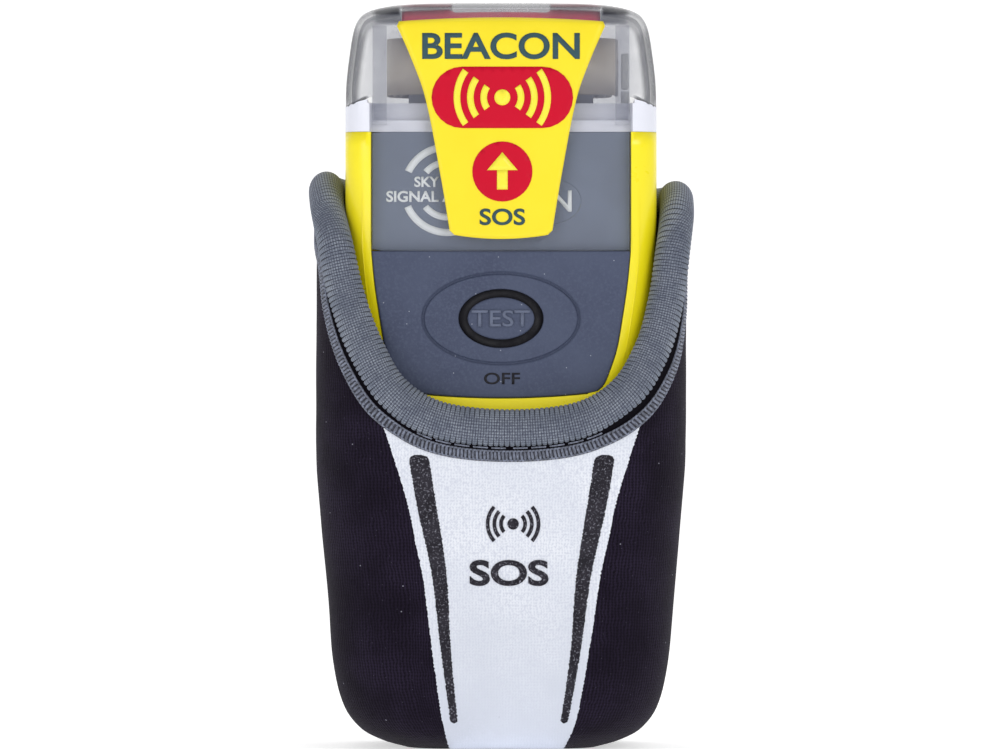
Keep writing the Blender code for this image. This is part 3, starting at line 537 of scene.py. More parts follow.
def smoked_material():
    """Smoked clear polycarbonate. A light tint, dark where a wall is seen edge on, clearer over the
    red tab and red where the tab's two pads press against the roof."""
    smoke = Surface("smoked_polycarbonate", rgb(128, 132, 148), 0.10, Specular_IOR_Level=0.22, IOR=1.25)
    place = smoke.place()
    height, across = smoke.axis(place, 2), smoke.absolute(smoke.axis(place, 0))
    normal = smoke.add("NewGeometry").outputs["Normal"]

    # The tint is heavier above the collar, most of all between the ribs on the front.
    front = smoke.inside(smoke.axis(normal, 1), -0.95, -0.80)
    above_collar = smoke.between(height, 0.0940, 0.0975)
    between_ribs = smoke.between(across, 0.0188, 0.0202, 0.075, 0.030)
    cloud = smoke.between(smoke.noise(0.007, 3.0), 0.3, 0.7, -0.03, 0.03)
    tint = smoke.times_plus(above_collar, between_ribs, 0.09)
    tint = smoke.plus(smoke.times_plus(smoke.times(front, above_collar), 0.05, tint), cloud)

    # Dark on turned walls and outlines, along the lower rim beside the tongue and at the roof's corners.
    facing = smoke.add("LayerWeight", {"Blend": 0.5}).outputs["Facing"]
    roof = smoke.between(smoke.absolute(smoke.axis(normal, 2)), 0.15, 0.50, 1.0, 0.68)
    turned = smoke.times(smoke.between(facing, 0.44, 0.76), roof)
    outline = smoke.times(smoke.between(facing, 0.70, 0.88, 0.0, 1.2), roof)
    low_rim = smoke.inside(smoke.axis(smoke.place("UV"), 1), 0.00015, 0.00045)
    rim = smoke.times(low_rim, smoke.between(across, 0.0196, 0.0206))
    beside_tab = smoke.times(smoke.between(across, 0.0146, 0.0156), smoke.inside(across, 0.0185, 0.0205))
    corner = smoke.times(beside_tab, smoke.between(height, 0.1098, 0.1106, 0.0, 1.15))
    dark = smoke.largest(turned, rim, corner, outline)

    over_tab = smoke.inside(across, 0.0148, 0.0154)
    clear = smoke.times(over_tab, smoke.between(height, 0.1110, 0.1115, -0.75, 0.0))
    dark = smoke.times_plus(dark, clear, dark)
    pads = smoke.times(over_tab, smoke.between(across, 0.0072, 0.0078),
                       smoke.between(height, 0.1113, 0.1117))
    alpha = smoke.times_plus(pads, 0.45, smoke.times_plus(dark, 0.60, tint))
    smoke.tree.links.new(alpha, smoke.shader.inputs["Alpha"])
    grey = smoke.mix(dark, rgb(136, 140, 156), rgb(40, 42, 52))
    smoke.set_color(smoke.mix(pads, grey, rgb(96, 12, 40)))
    smoke.set_roughness(smoke.between(smoke.noise(0.0012, 6.0, 0.7), 0.45, 0.75, 0.08, 0.20))
    return smoke.material


def metal(name, color, roughness, grain=0.0006):
    """Bare metal with faint streaks in its gloss."""
    made = Surface(name, color, roughness, Metallic=1.0)
    made.set_color(made.vary(0.002, 0.85, 1.08))
    streaks = made.noise(grain, 4.0)
    made.set_roughness(made.between(streaks, 0.3, 0.7, roughness * 0.7, roughness * 1.5))
    made.set_bump(streaks, 0.00001)
    return made.material


def board_material():
    """Green solder mask over copper traces."""
    board = Surface("solder_mask", rgb(28, 92, 52), 0.4, Coat_Weight=0.3)
    cells = board.add("TexVoronoi", {"Vector": board.place(), "Scale": 1 / 0.0022},
                      distance="MANHATTAN", feature="DISTANCE_TO_EDGE")
    trace = board.between(cells.outputs["Distance"], 0.03, 0.06)
    board.set_color(board.mix(trace, rgb(60, 130, 78), board.vary(0.004, 0.85, 1.15)))
    board.set_bump(trace, 0.00003)
    return board.material


def make_materials():
    """Every material, by a short name."""
    ink = {"roughness": 0.5, "depth": 0.000004}
    return {
        "neoprene": neoprene_material(),
        "ink": print_material(),
        "binding": binding_material(),
        "overlock": thread_material("overlock_thread", rgb(114, 120, 138)),
        # A darker copy of the overlock thread: painted shade under the braid.
        "braid_painted_shade": thread_material("braid_shadow", rgb(54, 56, 70)),
        # Near black: painted shade in the groove between the binding and the cloth.
        "groove_painted_shade": moulded("seam_shadow", rgb(14, 12, 18), 0.9, Specular_IOR_Level=0.05),
        "tacking": thread_material("tacking_thread", rgb(40, 40, 44)),
        "webbing": webbing_material(),
        "yellow": moulded("casing_yellow", rgb(254, 236, 6), 0.34, coat=0.25, spread=0.02),
        "white": moulded("collar_white", rgb(232, 234, 245), 0.38, coat=0.1, spread=0.02),
        "panel": moulded("panel_grey", rgb(120, 129, 146), 0.55, spread=0.04, Specular_IOR_Level=0.3),
        "keypad": keypad_material(),
        # The keypad's silicone painted lighter: a painted highlight on the raised TEST letters.
        "raised": moulded("letters_painted_highlight", rgb(100, 108, 130), 0.5, spread=0.04, Specular_IOR_Level=0.3),
        # Near black: painted shade behind the TEST key's groove, and the OFF mark's print.
        "groove": moulded("black_shade_and_print", rgb(20, 19, 28), 0.7),
        "smoke": smoked_material(),
        "film": moulded("label_film", rgb(251, 228, 28), 0.4, grain=0.0008, depth=0.000006, spread=0.015),
        "ink_red": moulded("label_ink_red", rgb(205, 0, 42), spread=0.02, Specular_IOR_Level=0.2, **ink),
        "ink_teal": moulded("label_ink_teal", rgb(56, 84, 92), spread=0.04, Specular_IOR_Level=0.2, **ink),
        "ink_yellow": moulded("label_ink_yellow", rgb(254, 238, 60), 0.3, depth=0.000004, spread=0.01),
        "ink_pale": moulded("panel_ink", rgb(244, 248, 252), spread=0.05, **ink),
        "ink_black": stripe_material(),
        "head": moulded("antenna_grey", rgb(186, 187, 196), 0.5, spread=0.08),
        "tape": moulded("antenna_bronze", rgb(206, 196, 180), 0.5, spread=0.12, Metallic=0.3),
        "red": moulded("tab_red", rgb(228, 60, 84), 0.45, spread=0.06, Specular_IOR_Level=0.2),
        "seal": moulded("seal_black", rgb(28, 28, 28), 0.7),
        "board": board_material(),
        "tin": metal("tinned", rgb(205, 205, 200), 0.3),
        "ceramic": moulded("patch_ceramic", rgb(170, 156, 128), 0.7),
        "cell": moulded("cell_sleeve", rgb(40, 84, 150), 0.3, coat=0.4),
        "tray": moulded("tray_black", rgb(36, 36, 40), 0.5),
        "screw": metal("screw_steel", rgb(196, 196, 196), 0.28),
        "lens": moulded("led_lens", rgb(236, 236, 224), 0.1, Alpha=0.6),
    }


# --- Camera, light and floor -------------------------------------------------
def make_camera():
    """A long lens, level with the middle of the object and square to its front."""
    view_width, lens, sensor = 0.1506, 300.0, 36.0
    camera_x, camera_z, sharp_plane = -0.00015, 0.0563, -0.0100
    camera_data = bpy.data.cameras.new("camera")
    camera_data.lens, camera_data.sensor_width = lens, sensor
    camera_data.clip_start, camera_data.clip_end = 0.01, 20.0
    camera = bpy.data.objects.new("camera", camera_data)
    camera.location = (camera_x, sharp_plane - view_width * lens / sensor, camera_z)
    camera.rotation_euler = (math.pi / 2, 0.0, 0.0)
    bpy.context.scene.collection.objects.link(camera)
    bpy.context.scene.camera = camera
    bpy.context.scene.view_settings.view_transform = "Standard"


def make_sweep():
    """Pale floor that bends up into a backdrop."""
    front, wall, bend, top, half_width = -2.6, 1.80, 0.50, 2.6, 2.6
    sweep = [(front, 0.0), (wall, 0.0)]
    sweep += [(wall + bend * math.sin(a), bend - bend * math.cos(a))
              for a in (math.pi / 2 * k / 12 for k in range(1, 13))]
    sweep.append((wall + bend, top))
    rows = [[(x, y, z) for y, z in sweep] for x in (-half_width, half_width)]
    floor = grid_object("floor_sweep", rows, False)
    pale = Surface("sweep_white", (0.80, 0.80, 0.80, 1.0), 0.9)
    pale.shader.inputs["Emission Color"].default_value = (1.0, 1.0, 1.0, 1.0)
    pale.shader.inputs["Emission Strength"].default_value = 0.55
    floor.data.materials.append(pale.material)


def make_lights():
    """Even studio light with a soft key from the upper right."""
    world = bpy.data.worlds.new("studio")
    world.use_nodes = True
    world.node_tree.nodes["Background"].inputs["Color"].default_value = (1.0, 1.0, 1.0, 1.0)
    world.node_tree.nodes["Background"].inputs["Strength"].default_value = 0.50
    bpy.context.scene.world = world
    middle = Vector((0.0, 0.0, 0.056))
    boxes = (("key_right", (0.55, -0.75, 0.50), (0.45, 0.45), 2.2),
             ("fill_left", (-0.65, -0.70, 0.30), (0.40, 0.60), 1.5),
             ("top_back", (0.05, 0.25, 0.62), (0.60, 0.30), 0.7))
    for name, location, size, power in boxes:
        light = bpy.data.lights.new(name, "AREA")
        light.shape = "RECTANGLE"
        light.size, light.size_y = size
        light.energy = power
        lamp = bpy.data.objects.new(name, light)
        lamp.location = location
        lamp.rotation_euler = (middle - Vector(location)).to_track_quat("-Z", "Y").to_euler()
        bpy.context.scene.collection.objects.link(lamp)


# --- Pouch -------------------------------------------------------------------
def nearest_plan(section, point):
    """The nearest place on a plan outline at a point's height, and the direction out of it."""
    half_width, front, back, front_radius, back_radius = section
    radius, depth = (front_radius, front) if point.y < 0 else (back_radius, back)
    core = Vector((min(max(point.x, radius - half_width), half_width - radius),
                   min(max(point.y, radius - depth), depth - radius), point.z))
    outward = Vector((point.x - core.x, point.y - core.y, 0.0)).normalized()
    return core + outward * radius, outward


def rim_route():
    """The binding's centre line as a closed list of points, RIB_STEPS to a rib."""
    def leaned(x, y, height):
        share = min(max((height - RIM_LEVEL) / (RIM_TOP - RIM_LEVEL), 0.0), 1.0)
        return (x + RIM_TWIST * (1.0 - share), y, height - RIM_TILT * x * share)

    def scoop_point(side, across, height):
        x, _, z = leaned(side * across, 0.0, height)
        half_width, front, _, radius, _ = station_at(CASE_STATIONS, height)
        reach = radius + RIM_CLEARANCE
        past = min(max(abs(x) - (half_width - radius), 0.0), reach)
        return (x, -(front - radius) - math.sqrt(reach ** 2 - past ** 2), z)

    right = [scoop_point(1, *point) for point in RIM_SCOOP] + [leaned(*point) for point in RIM_SHOULDER]
    left = [scoop_point(-1, *point) for point in RIM_SCOOP[1:]]
    left += [leaned(-x, y, z) for x, y, z in RIM_SHOULDER]
    knots = [Vector(point) for point in right + [RIM_BACK] + left[::-1]]
    between_knots, fine = 24, []
    for i in range(len(knots)):
        before, start, end, after = (knots[(i + k) % len(knots)] for k in (-1, 0, 1, 2))
        for step in range(between_knots):
            t = step / between_knots
            fine.append(0.5 * (2 * start + (end - before) * t
                               + (2 * before - 5 * start + 4 * end - after) * t * t
                               + (3 * start - before - 3 * end + after) * t ** 3))
    return even_loop(fine, RIB_PITCH, RIB_STEPS)


def even_loop(points, pitch, steps):
    """The closed line through the points in equal steps, a whole number of pitches long."""
    closed = points + points[:1]
    length = sum((b - a).length for a, b in zip(closed, closed[1:]))
    return resample(closed, round(length / pitch) * steps)[:-1]


def rim_frames(route):
    """For each rim point: the point, its outward direction and its direction down the pouch."""
    frames = []
    for i, point in enumerate(route):
        tangent = (route[(i + 1) % len(route)] - route[i - 1]).normalized()
        _, outward = nearest_plan(station_at(CASE_STATIONS, point.z), point)
        outward = (outward - tangent * outward.dot(tangent)).normalized()
        frames.append((point, outward, tangent.cross(outward)))
    return frames


def rim_profile(route):
    """A function that gives the rim's height in the direction of any (x, y)."""
    ring = ring_of_readings((math.atan2(point.y, point.x), point.z) for point in route)
    return lambda x, y: read_ring(ring, x, y)


def simulate_swell(rim_height):
    """Cloth simulation of the outer face: foam pushes it out, the seam and the floor hold it.

    Runs on a coarse tube at SIM_SCALE, then fills SWELL with outward travel by row and angle."""
    spans, rows_count, frames_count = (4, 4, 7, 5, 14), 26, 24
    most_travel, seam_hold = 0.00028, 0.0045
    rings = []
    for r in range(rows_count):
        z = SWELL_LOW + (SWELL_HIGH - SWELL_LOW) * r / (rows_count - 1)
        rings.append([(x, y, z, nx, ny) for x, y, nx, ny in outline_at(POUCH_STATIONS, z, spans)])
    flat = [point for ring in rings for point in ring]
    enlarged = [[tuple(value * SIM_SCALE for value in point[:3]) for point in ring] for ring in rings]
    skin = grid_object("swell_skin", enlarged, True)
    held = skin.vertex_groups.new(name="held")
    for index, (x, y, z, _, _) in enumerate(flat):
        if z <= SWELL_LOW or z > rim_height(x, y) - seam_hold:
            held.add([index], 1.0, "REPLACE")
    cloth = skin.modifiers.new("cloth", "CLOTH")
    cloth.settings.quality = 5
    cloth.settings.mass = 0.15
    cloth.settings.tension_stiffness = cloth.settings.compression_stiffness = 30.0
    cloth.settings.bending_stiffness = 4.0
    cloth.settings.vertex_group_mass = "held"
    cloth.settings.use_pressure = True
    cloth.settings.uniform_pressure_force = 3.0
    cloth.collision_settings.use_collision = False
    cloth.point_cache.frame_end = frames_count
    scene = bpy.context.scene
    for frame_number in range(1, frames_count + 1):
        scene.frame_set(frame_number)
    settled = skin.evaluated_get(bpy.context.evaluated_depsgraph_get()).data.vertices
    travel = [(settled[i].co.x / SIM_SCALE - x) * nx + (settled[i].co.y / SIM_SCALE - y) * ny
              for i, (x, y, _, nx, ny) in enumerate(flat)]
    share = min(1.0, most_travel / max(max(abs(t) for t in travel), TINY))
    readings = [(math.atan2(point[1], point[0]), out * share) for point, out in zip(flat, travel)]
    columns = len(rings[0])
    SWELL.extend(ring_of_readings(readings[r * columns:(r + 1) * columns]) for r in range(rows_count))
    scene.frame_set(1)
    bpy.data.objects.remove(skin)


def swell_at(x, y, z):
    """The simulated swell, read between its rows and angles."""
    place = (z - SWELL_LOW) / (SWELL_HIGH - SWELL_LOW) * (len(SWELL) - 1)
    if not SWELL or place <= 0 or place >= len(SWELL) - 1:
        return 0.0
    row = int(place)
    low, high = (read_ring(ring, x, y) for ring in SWELL[row:row + 2])
    return low + (high - low) * (place - row)


def pouch_puff(x, y, z):
    """How far the padded cloth stands proud of its plain shape."""
    place = Vector((x, y, z))
    soft = noise.noise(place * 60.0) * 0.00016 + noise.noise(place * 170.0) * 0.00006
    return soft * smoothstep(0.001, 0.010, z) + swell_at(x, y, z)


def make_pouch_shell(rim_height, surface):
    """Outer face up to the rim, over the edge and down the lining to the floor."""
    spans, tuck, curved_top = (14, 14, 30, 18, 60), 0.0022, 0.0200
    curved_rows, upright_rows, lining_rows = 26, 34, 24
    depth_and_rise = ((0.0006, 0.0006), (0.0014, 0.0011), (0.0024, 0.0011), (0.0032, 0.0006))
    reference = outline_at(POUCH_STATIONS, 0.055, spans)
    tops = [rim_height(x, y) - tuck for x, y, _, _ in reference]
    rings = {}

    def row_at(heights, depth_in):
        row = []
        for c, z in enumerate(heights):
            key = round(z, 5)
            if key not in rings:
                rings[key] = outline_at(POUCH_STATIONS, z, spans)
            x, y, nx, ny = rings[key][c]
            out = pouch_puff(x, y, z) - depth_in
            row.append((x + nx * out, y + ny * out, z))
        return row

    levels = [([curved_top * (k / curved_rows) ** 1.9] * len(tops), 0.0) for k in range(curved_rows + 1)]
    levels += [([curved_top + (top - curved_top) * k / upright_rows for top in tops], 0.0)
               for k in range(1, upright_rows + 1)]
    levels += [([top + rise for top in tops], depth_in) for depth_in, rise in depth_and_rise]
    levels += [([top + (POUCH_FLOOR - top) * k / lining_rows for top in tops], POUCH_WALL)
               for k in range(lining_rows + 1)]
    lengths = [0.0]
    for a, b in zip(reference, reference[1:] + reference[:1]):
        lengths.append(lengths[-1] + math.hypot(b[0] - a[0], b[1] - a[1]))
    shell = grid_object("pouch_cloth", [row_at(*level) for level in levels], True, caps=True,
                        uv=lambda r, c: (lengths[c], levels[r][0][c % len(tops)]))
    finish_piece(shell, surface, "pouch", ["pouch_shell"])


def make_binding(frames, surface):
    """Stuffed knit tube: fine wales on its crown, paired ribs with deep gaps along its edges.

    The crown follows the part of the tube that faces the front, where the knit is stretched."""
    thick, wide, sides = 0.0026, 0.0029, 44
    wider_in_scoop, higher_in_scoop = 0.0002, 0.00018
    rib_depth, wale_depth, fade_low, fade_high = 0.00022, 0.00008, 0.0780, 0.0835
    front = Vector((0.0, -1.0, 0.0))
    rows = []
    for i, (point, outward, down) in enumerate(frames):
        pair = abs(math.sin(math.pi * i / RIB_STEPS)) ** 0.5 - 1.0
        wale = abs(math.sin(2 * math.pi * i / RIB_STEPS)) ** 0.7 - 1.0
        swell = 1.0 + 0.030 * noise.noise(point * 120.0)
        scooped = max(0.0, -down.z) * smoothstep(-0.2, 0.6, -outward.y)
        half_width, centre = wide + wider_in_scoop * scooped, point - down * higher_in_scoop * scooped
        faint = 1.0 - 0.75 * smoothstep(fade_low, fade_high, point.z)
        turn = math.atan2(front.dot(down), front.dot(outward)) * smoothstep(-0.2, 0.5, -outward.y)
        row = []
        for k in range(sides):
            from_crown = 2 * math.pi * k / sides - math.pi
            edge = smoothstep(0.40, 0.90, abs(math.sin(from_crown)))
            cut = (pair * rib_depth * edge + wale * wale_depth * (1.0 - edge)) * faint
            angle = from_crown + turn
            row.append(centre + outward * (thick * swell + cut) * math.cos(angle)
                       + down * (half_width * swell + cut) * math.sin(angle))
        rows.append(row)
    rows.append(rows[0])
    rib_share = RIB_PITCH / RIB_STEPS
    tube = grid_object("mouth_binding", rows, True,
                       uv=lambda r, c: (r * rib_share, BINDING_AROUND * c / sides), flip=True)
    modify(tube, "weld", "WELD", merge_threshold=WELD)
    finish_piece(tube, surface, "pouch", ["edge_binding"])


def add_capsule(bm, start, end, radius, sides=6):
    """A short rounded thread from start to end."""
    along = (end - start).normalized()
    side = along.orthogonal().normalized()
    other = along.cross(side)
    length = (end - start).length
    profile = ((0.0, 0.25), (0.10, 0.75), (0.28, 1.0), (0.72, 1.0), (0.90, 0.75), (1.0, 0.25))
    rings = []
    for share, size in profile:
        centre = start + along * length * share
        rings.append([bm.verts.new(centre + (side * math.cos(a) + other * math.sin(a)) * radius * size)
                      for a in (2 * math.pi * k / sides for k in range(sides))])
    for low, high in zip(rings, rings[1:]):
        for k in range(sides):
            j = (k + 1) % sides
            bm.faces.new((low[k], low[j], high[j], high[k]))
    bm.faces.new(rings[0][::-1])
    bm.faces.new(rings[-1])


def make_overlock(frames, surface, bed, groove):
    """Overlock braid that joins the binding to the cloth: bars between two edge threads, on a darker copy
    of the thread that paints the shade under the braid.
    """
    steps, lift = 4, 0.00022
    bar_radius, edge_radius, loop_radius = 0.00020, 0.00014, 0.00013
    inner, outer, loop_across, loop_lift, loops_below = -0.00060, 0.00060, -0.00098, 0.00028, 0.0500
    below_rim, further_in_scoop, wider_in_scoop = 0.00250, 0.00128, 0.20
    total = len(frames)
    count = total // steps
    bm = bmesh.new()

    def seam(position, across, height):
        i = int(math.floor(position))
        share = position - i
        places = []
        for point, _, down in (frames[i % total], frames[(i + 1) % total]):
            low = max(0.0, -down.z)
            places.append(point + down * (below_rim + further_in_scoop * low
                                          + across * (1.0 + wider_in_scoop * low)))
        point = places[0].lerp(places[1], share)
        place, outward = nearest_plan(station_at(POUCH_STATIONS, point.z), point)
        return place + outward * (height + pouch_puff(*place))

    def sew(first, last, radius, sides=6):
        add_capsule(bm, seam(*first), seam(*last), radius, sides)

    for n in range(count):
        pitch = total / count
        start = n * pitch
        wobble = 0.10 * noise.noise(Vector((n * 0.7, 0.0, 0.0))) * pitch
        sew((start, inner, lift), (start + 0.30 * pitch + wobble, outer, lift), bar_radius)
        sew((start + 0.15 * pitch, outer, lift), (start + 1.05 * pitch, outer * 0.92, lift), edge_radius)
        sew((start - 0.1 * pitch, inner * 0.95, lift), (start + 0.9 * pitch, inner, lift * 0.8),
            edge_radius)
        if n % 5 and frames[int(start) % total][0].z < loops_below:
            for part in (0.0, 0.5):
                sew((start + (part - 0.1) * pitch, loop_across, loop_lift),
                    (start + (part + 0.5) * pitch, loop_across, loop_lift), loop_radius, 5)
    stitches = object_from("overlock_stitches", bm)
    finish_piece(stitches, surface, "pouch")

    # Two dark strips under the stitches: painted shade in the groove beside the binding and under the
    # braid.
    strips = (("seam_painted_shade", groove, ((-0.0019, -0.0008), (-0.0015, 0.0), (-0.00068, 0.00006))),
              ("overlock_painted_shade", bed, ((-0.00072, 0.00008), (0.0, 0.00014), (0.00072, 0.00008))))
    for name, cloth, strip in strips:
        rows = [[seam(i, across, height) for across, height in strip] for i in range(0, total, 2)]
        rows.append(rows[0])
        ribbon = grid_object(name, rows, False, flip=True)
        modify(ribbon, "thick", "SOLIDIFY", thickness=0.00005)
        finish_piece(ribbon, cloth, "pouch")


def pouch_front(x, z, lift=0.0):
    """A point on the pouch's front face, a little proud of it."""
    y = front_face(station_at(POUCH_STATIONS, z), x)
    return Vector((x, y - pouch_puff(x, y, z) - lift, z))


def make_print(route, white, black):
    """White panel printed on the front up to the seam, with two dark stripes down its sides."""
    front_rim = sorted((p.x, p.z) for p in route if p.y < 0 and abs(p.x) < 0.024)
    under_seam = 0.0036

    def seam_height(x):
        right = next((k for k, point in enumerate(front_rim) if point[0] > x), len(front_rim) - 1)
        (x0, z0), (x1, z1) = front_rim[max(right - 1, 0)], front_rim[right]
        return z0 + (z1 - z0) * (x - x0) / max(x1 - x0, 1e-6) - under_seam

    def jag(row, seed):
        return 0.00014 * noise.noise(Vector((row * 0.9, seed, 0.3))) + 0.00007 * ((row % 2) - 0.5)

    low, rows_count, columns = 0.00005, 190, 36
    top_centre, top_edge = PRINT_CENTRE[-1][1], PRINT_EDGE[-1][1]
    rows = []
    for row in range(rows_count + 1):
        points = []
        for c in range(columns + 1):
            across = 2 * c / columns - 1
            z = low + (seam_height(top_centre + across * top_edge) - low) * row / rows_count
            edge = curve_at(PRINT_EDGE, z) + (jag(row, across) if abs(across) == 1 else 0)
            points.append(pouch_front(curve_at(PRINT_CENTRE, z) + across * edge, z, HAIR))
        rows.append(points)
    finish_piece(grid_object("pouch_print", rows, False), white, "pouch")

    tip, top, rows_count, columns = STRIPE_WIDTH[0][0] - 0.0004, STRIPE_WIDTH[-1][0] + 0.0005, 170, 4
    tip_radius, top_radius = 0.0005, 0.0010
    for name, side in (("stripe_left", -1), ("stripe_right", 1)):
        rows = []
        for row in range(rows_count + 1):
            z = tip + (top - tip) * row / rows_count
            half = curve_at(STRIPE_WIDTH, z) / 2
            for end, radius in ((z - tip, tip_radius), (top - z, top_radius)):
                if end < radius:
                    half -= min(radius, half * 0.96) * (1 - math.sqrt(1 - (1 - end / radius) ** 2))
            middle = curve_at(PRINT_CENTRE, z) + side * curve_at(STRIPE_CENTRE, z)
            start, end = middle - half + jag(row, side + 3.0), middle + half + jag(row, side + 6.0)
            rows.append([pouch_front(start + (end - start) * c / columns, z, 2 * HAIR)
                         for c in range(columns + 1)])
        finish_piece(grid_object("print_" + name, rows, False), black, "pouch")


# --- Flat art ----------------------------------------------------------------
def flat_object(name, polygons, settle, surface, body, depth=0.00003):
    """Thin ink from (x, z) polygons, cut fine enough to follow the face that settle(x, z) gives."""
    longest_edge, rounds, merge, sliver_area = 0.0012, 6, 0.000002, 1e-12
    bm = bmesh.new()
    for polygon in polygons:
        bm.faces.new([bm.verts.new((x, 0.0, z)) for x, z in polygon])
    bmesh.ops.remove_doubles(bm, verts=bm.verts[:], dist=merge)
    bmesh.ops.triangulate(bm, faces=bm.faces[:])
    slivers = [face for face in bm.faces if face.calc_area() < sliver_area]
    bmesh.ops.delete(bm, geom=slivers, context="FACES_ONLY")
    for _ in range(rounds):
        long_edges = [edge for edge in bm.edges if edge.calc_length() > longest_edge]
        bmesh.ops.subdivide_edges(bm, edges=long_edges, cuts=1)
        bmesh.ops.triangulate(bm, faces=bm.faces[:])
    for face in bm.faces:
        face.normal_update()
        if face.normal.y > 0:
            face.normal_flip()
    for vert in bm.verts:
        vert.co = settle(vert.co.x, vert.co.z)
    made = object_from(name, bm)
    modify(made, "ink", "SOLIDIFY", thickness=depth, offset=1.0)
    finish_piece(made, surface, body)


def text_polygons(words, centre, height, width, bold=0.0):
    """Plain sans lettering fitted to a box about an (x, z) centre, as triangles."""
    font = bpy.data.curves.new("words", "FONT")
    font.body = words
    font.resolution_u = 6
    font.offset = bold
    holder = bpy.data.objects.new("words", font)
    bpy.context.scene.collection.objects.link(holder)
    bpy.context.view_layer.update()
    mesh = bpy.data.meshes.new_from_object(holder.evaluated_get(bpy.context.evaluated_depsgraph_get()))
    bpy.data.objects.remove(holder)
    xs, ys = [v.co.x for v in mesh.vertices], [v.co.y for v in mesh.vertices]
    scale_x, scale_y = width / (max(xs) - min(xs)), height / (max(ys) - min(ys))
    middle_x, middle_y = (max(xs) + min(xs)) / 2, (max(ys) + min(ys)) / 2
    polygons = [[(centre[0] + (mesh.vertices[v].co.x - middle_x) * scale_x,
                  centre[1] + (mesh.vertices[v].co.y - middle_y) * scale_y) for v in face.vertices]
                for face in mesh.polygons]
    bpy.data.meshes.remove(mesh)
    return polygons


def arc_band(centre, radius, width, start, end, steps=20):
    """A curved stroke between two angles in degrees, as quads."""
    polygons = []
    for k in range(steps):
        a, b = (math.radians(start + (end - start) * (k + j) / steps) for j in (0, 1))
        inner, outer = radius - width / 2, radius + width / 2
        polygons.append([(centre[0] + r * math.cos(t), centre[1] + r * math.sin(t))
                         for r, t in ((inner, a), (outer, a), (outer, b), (inner, b))])
    return polygons


def disc(centre, radius, steps=28):
    """A round spot as one outline."""
    return [[(centre[0] + radius * math.cos(2 * math.pi * k / steps),
              centre[1] + radius * math.sin(2 * math.pi * k / steps)) for k in range(steps)]]


def pill(centre, width, height, steps=12):
    """A rounded bar as one outline."""
    radius = height / 2
    points = []
    for side, start in ((1, -90), (-1, 90)):
        for k in range(steps + 1):
            angle = math.radians(start + 180 * k / steps)
            points.append((centre[0] + side * (width / 2 - radius) + radius * math.cos(angle),
                           centre[1] + radius * math.sin(angle)))
    return [points]


def make_pouch_art(surface):
    """A plain radio-wave sign and generic upright letters under it."""
    centre, stroke, half_angle = (0.0018, 0.0340), 0.00055, 42
    polygons = disc(centre, 0.00085)
    for radius in (0.0018, 0.0028, 0.0038):
        for facing in (0, 180):
            polygons += arc_band(centre, radius, stroke, facing - half_angle, facing + half_angle, 10)
    polygons += text_polygons("SOS", (0.0012, 0.02668), 0.0039, 0.0118, bold=0.03)
    flat_object("pouch_mark", polygons, lambda x, z: pouch_front(x, z, 2.5 * HAIR), surface,
                "pouch")


def make_belt_loop(webbing, thread):
    """Webbing loop on the back, sewn down at both ends."""
    thickness, half_width, columns, steps = 0.0020, (LOOP_HIGH.x - LOOP_LOW.x) / 2, 10, 120
    near, low, high = LOOP_LOW.y, LOOP_LOW.z, LOOP_HIGH.z
    inner_y, outer_y = near + thickness / 2, LOOP_HIGH.y - thickness / 2
    sewn, ramp = 0.004, 0.0075
    rows, lengths, run = [], [], 0.0
    for k in range(steps + 1):
        z = low + (high - low) * k / steps
        lift = smoothstep(low + sewn, low + sewn + ramp, z)
        lift *= 1 - smoothstep(high - sewn - ramp, high - sewn, z)
        y = inner_y + (outer_y - inner_y) * lift
        if rows:
            run += math.hypot(z - rows[-1][0][2], y - rows[-1][0][1])
        lengths.append(run)
        rows.append([(half_width * (1 - 2 * c / columns), y, z) for c in range(columns + 1)])
    strap = grid_object("belt_strap", rows, False,
                        uv=lambda r, c: (half_width * 2 * c / columns, lengths[r]))
    modify(strap, "thick", "SOLIDIFY", thickness=thickness, offset=0.0)
    modify(strap, "soft_edge", "BEVEL", width=0.0005, segments=3)
    finish_piece(strap, webbing, "pouch", ["belt_loop"])

    bm = bmesh.new()
    stitch, gap, radius, y = 0.0016, 0.0022, 0.00022, near + thickness + 0.00005
    seam_width = half_width * 1.8
    count = round(seam_width / gap)
    for base in (low + 0.0010, high - 0.0042):
        for z in (base, base + 0.0032):
            for k in range(count):
                x = -half_width * 0.9 + seam_width * k / count
                add_capsule(bm, Vector((x, y, z)), Vector((x + stitch, y, z)), radius)
    finish_piece(object_from("belt_stitches", bm), thread, "pouch")


# --- Casing ------------------------------------------------------------------
def front_half_path(z, edge):
    """Right half of the front casing's outline, from the split round to the recess edge."""
    half_width, front, _, radius, _ = station_at(CASE_STATIONS, z)
    split, corner_steps = -0.00015, 24
    path = [Vector((half_width, split)), Vector((half_width, radius - front))]
    centre = Vector((half_width - radius, radius - front))
    for k in range(1, corner_steps + 1):
        angle = -math.pi / 2 * k / corner_steps
        point = centre + radius * Vector((math.cos(angle), math.sin(angle)))
        if point.x < edge:
            break
        path.append(point)
    end_past = max(edge - centre.x, 0.0)
    path.append(Vector((edge, centre.y - math.sqrt(max(radius ** 2 - end_past ** 2, 0.0)))))
    return path


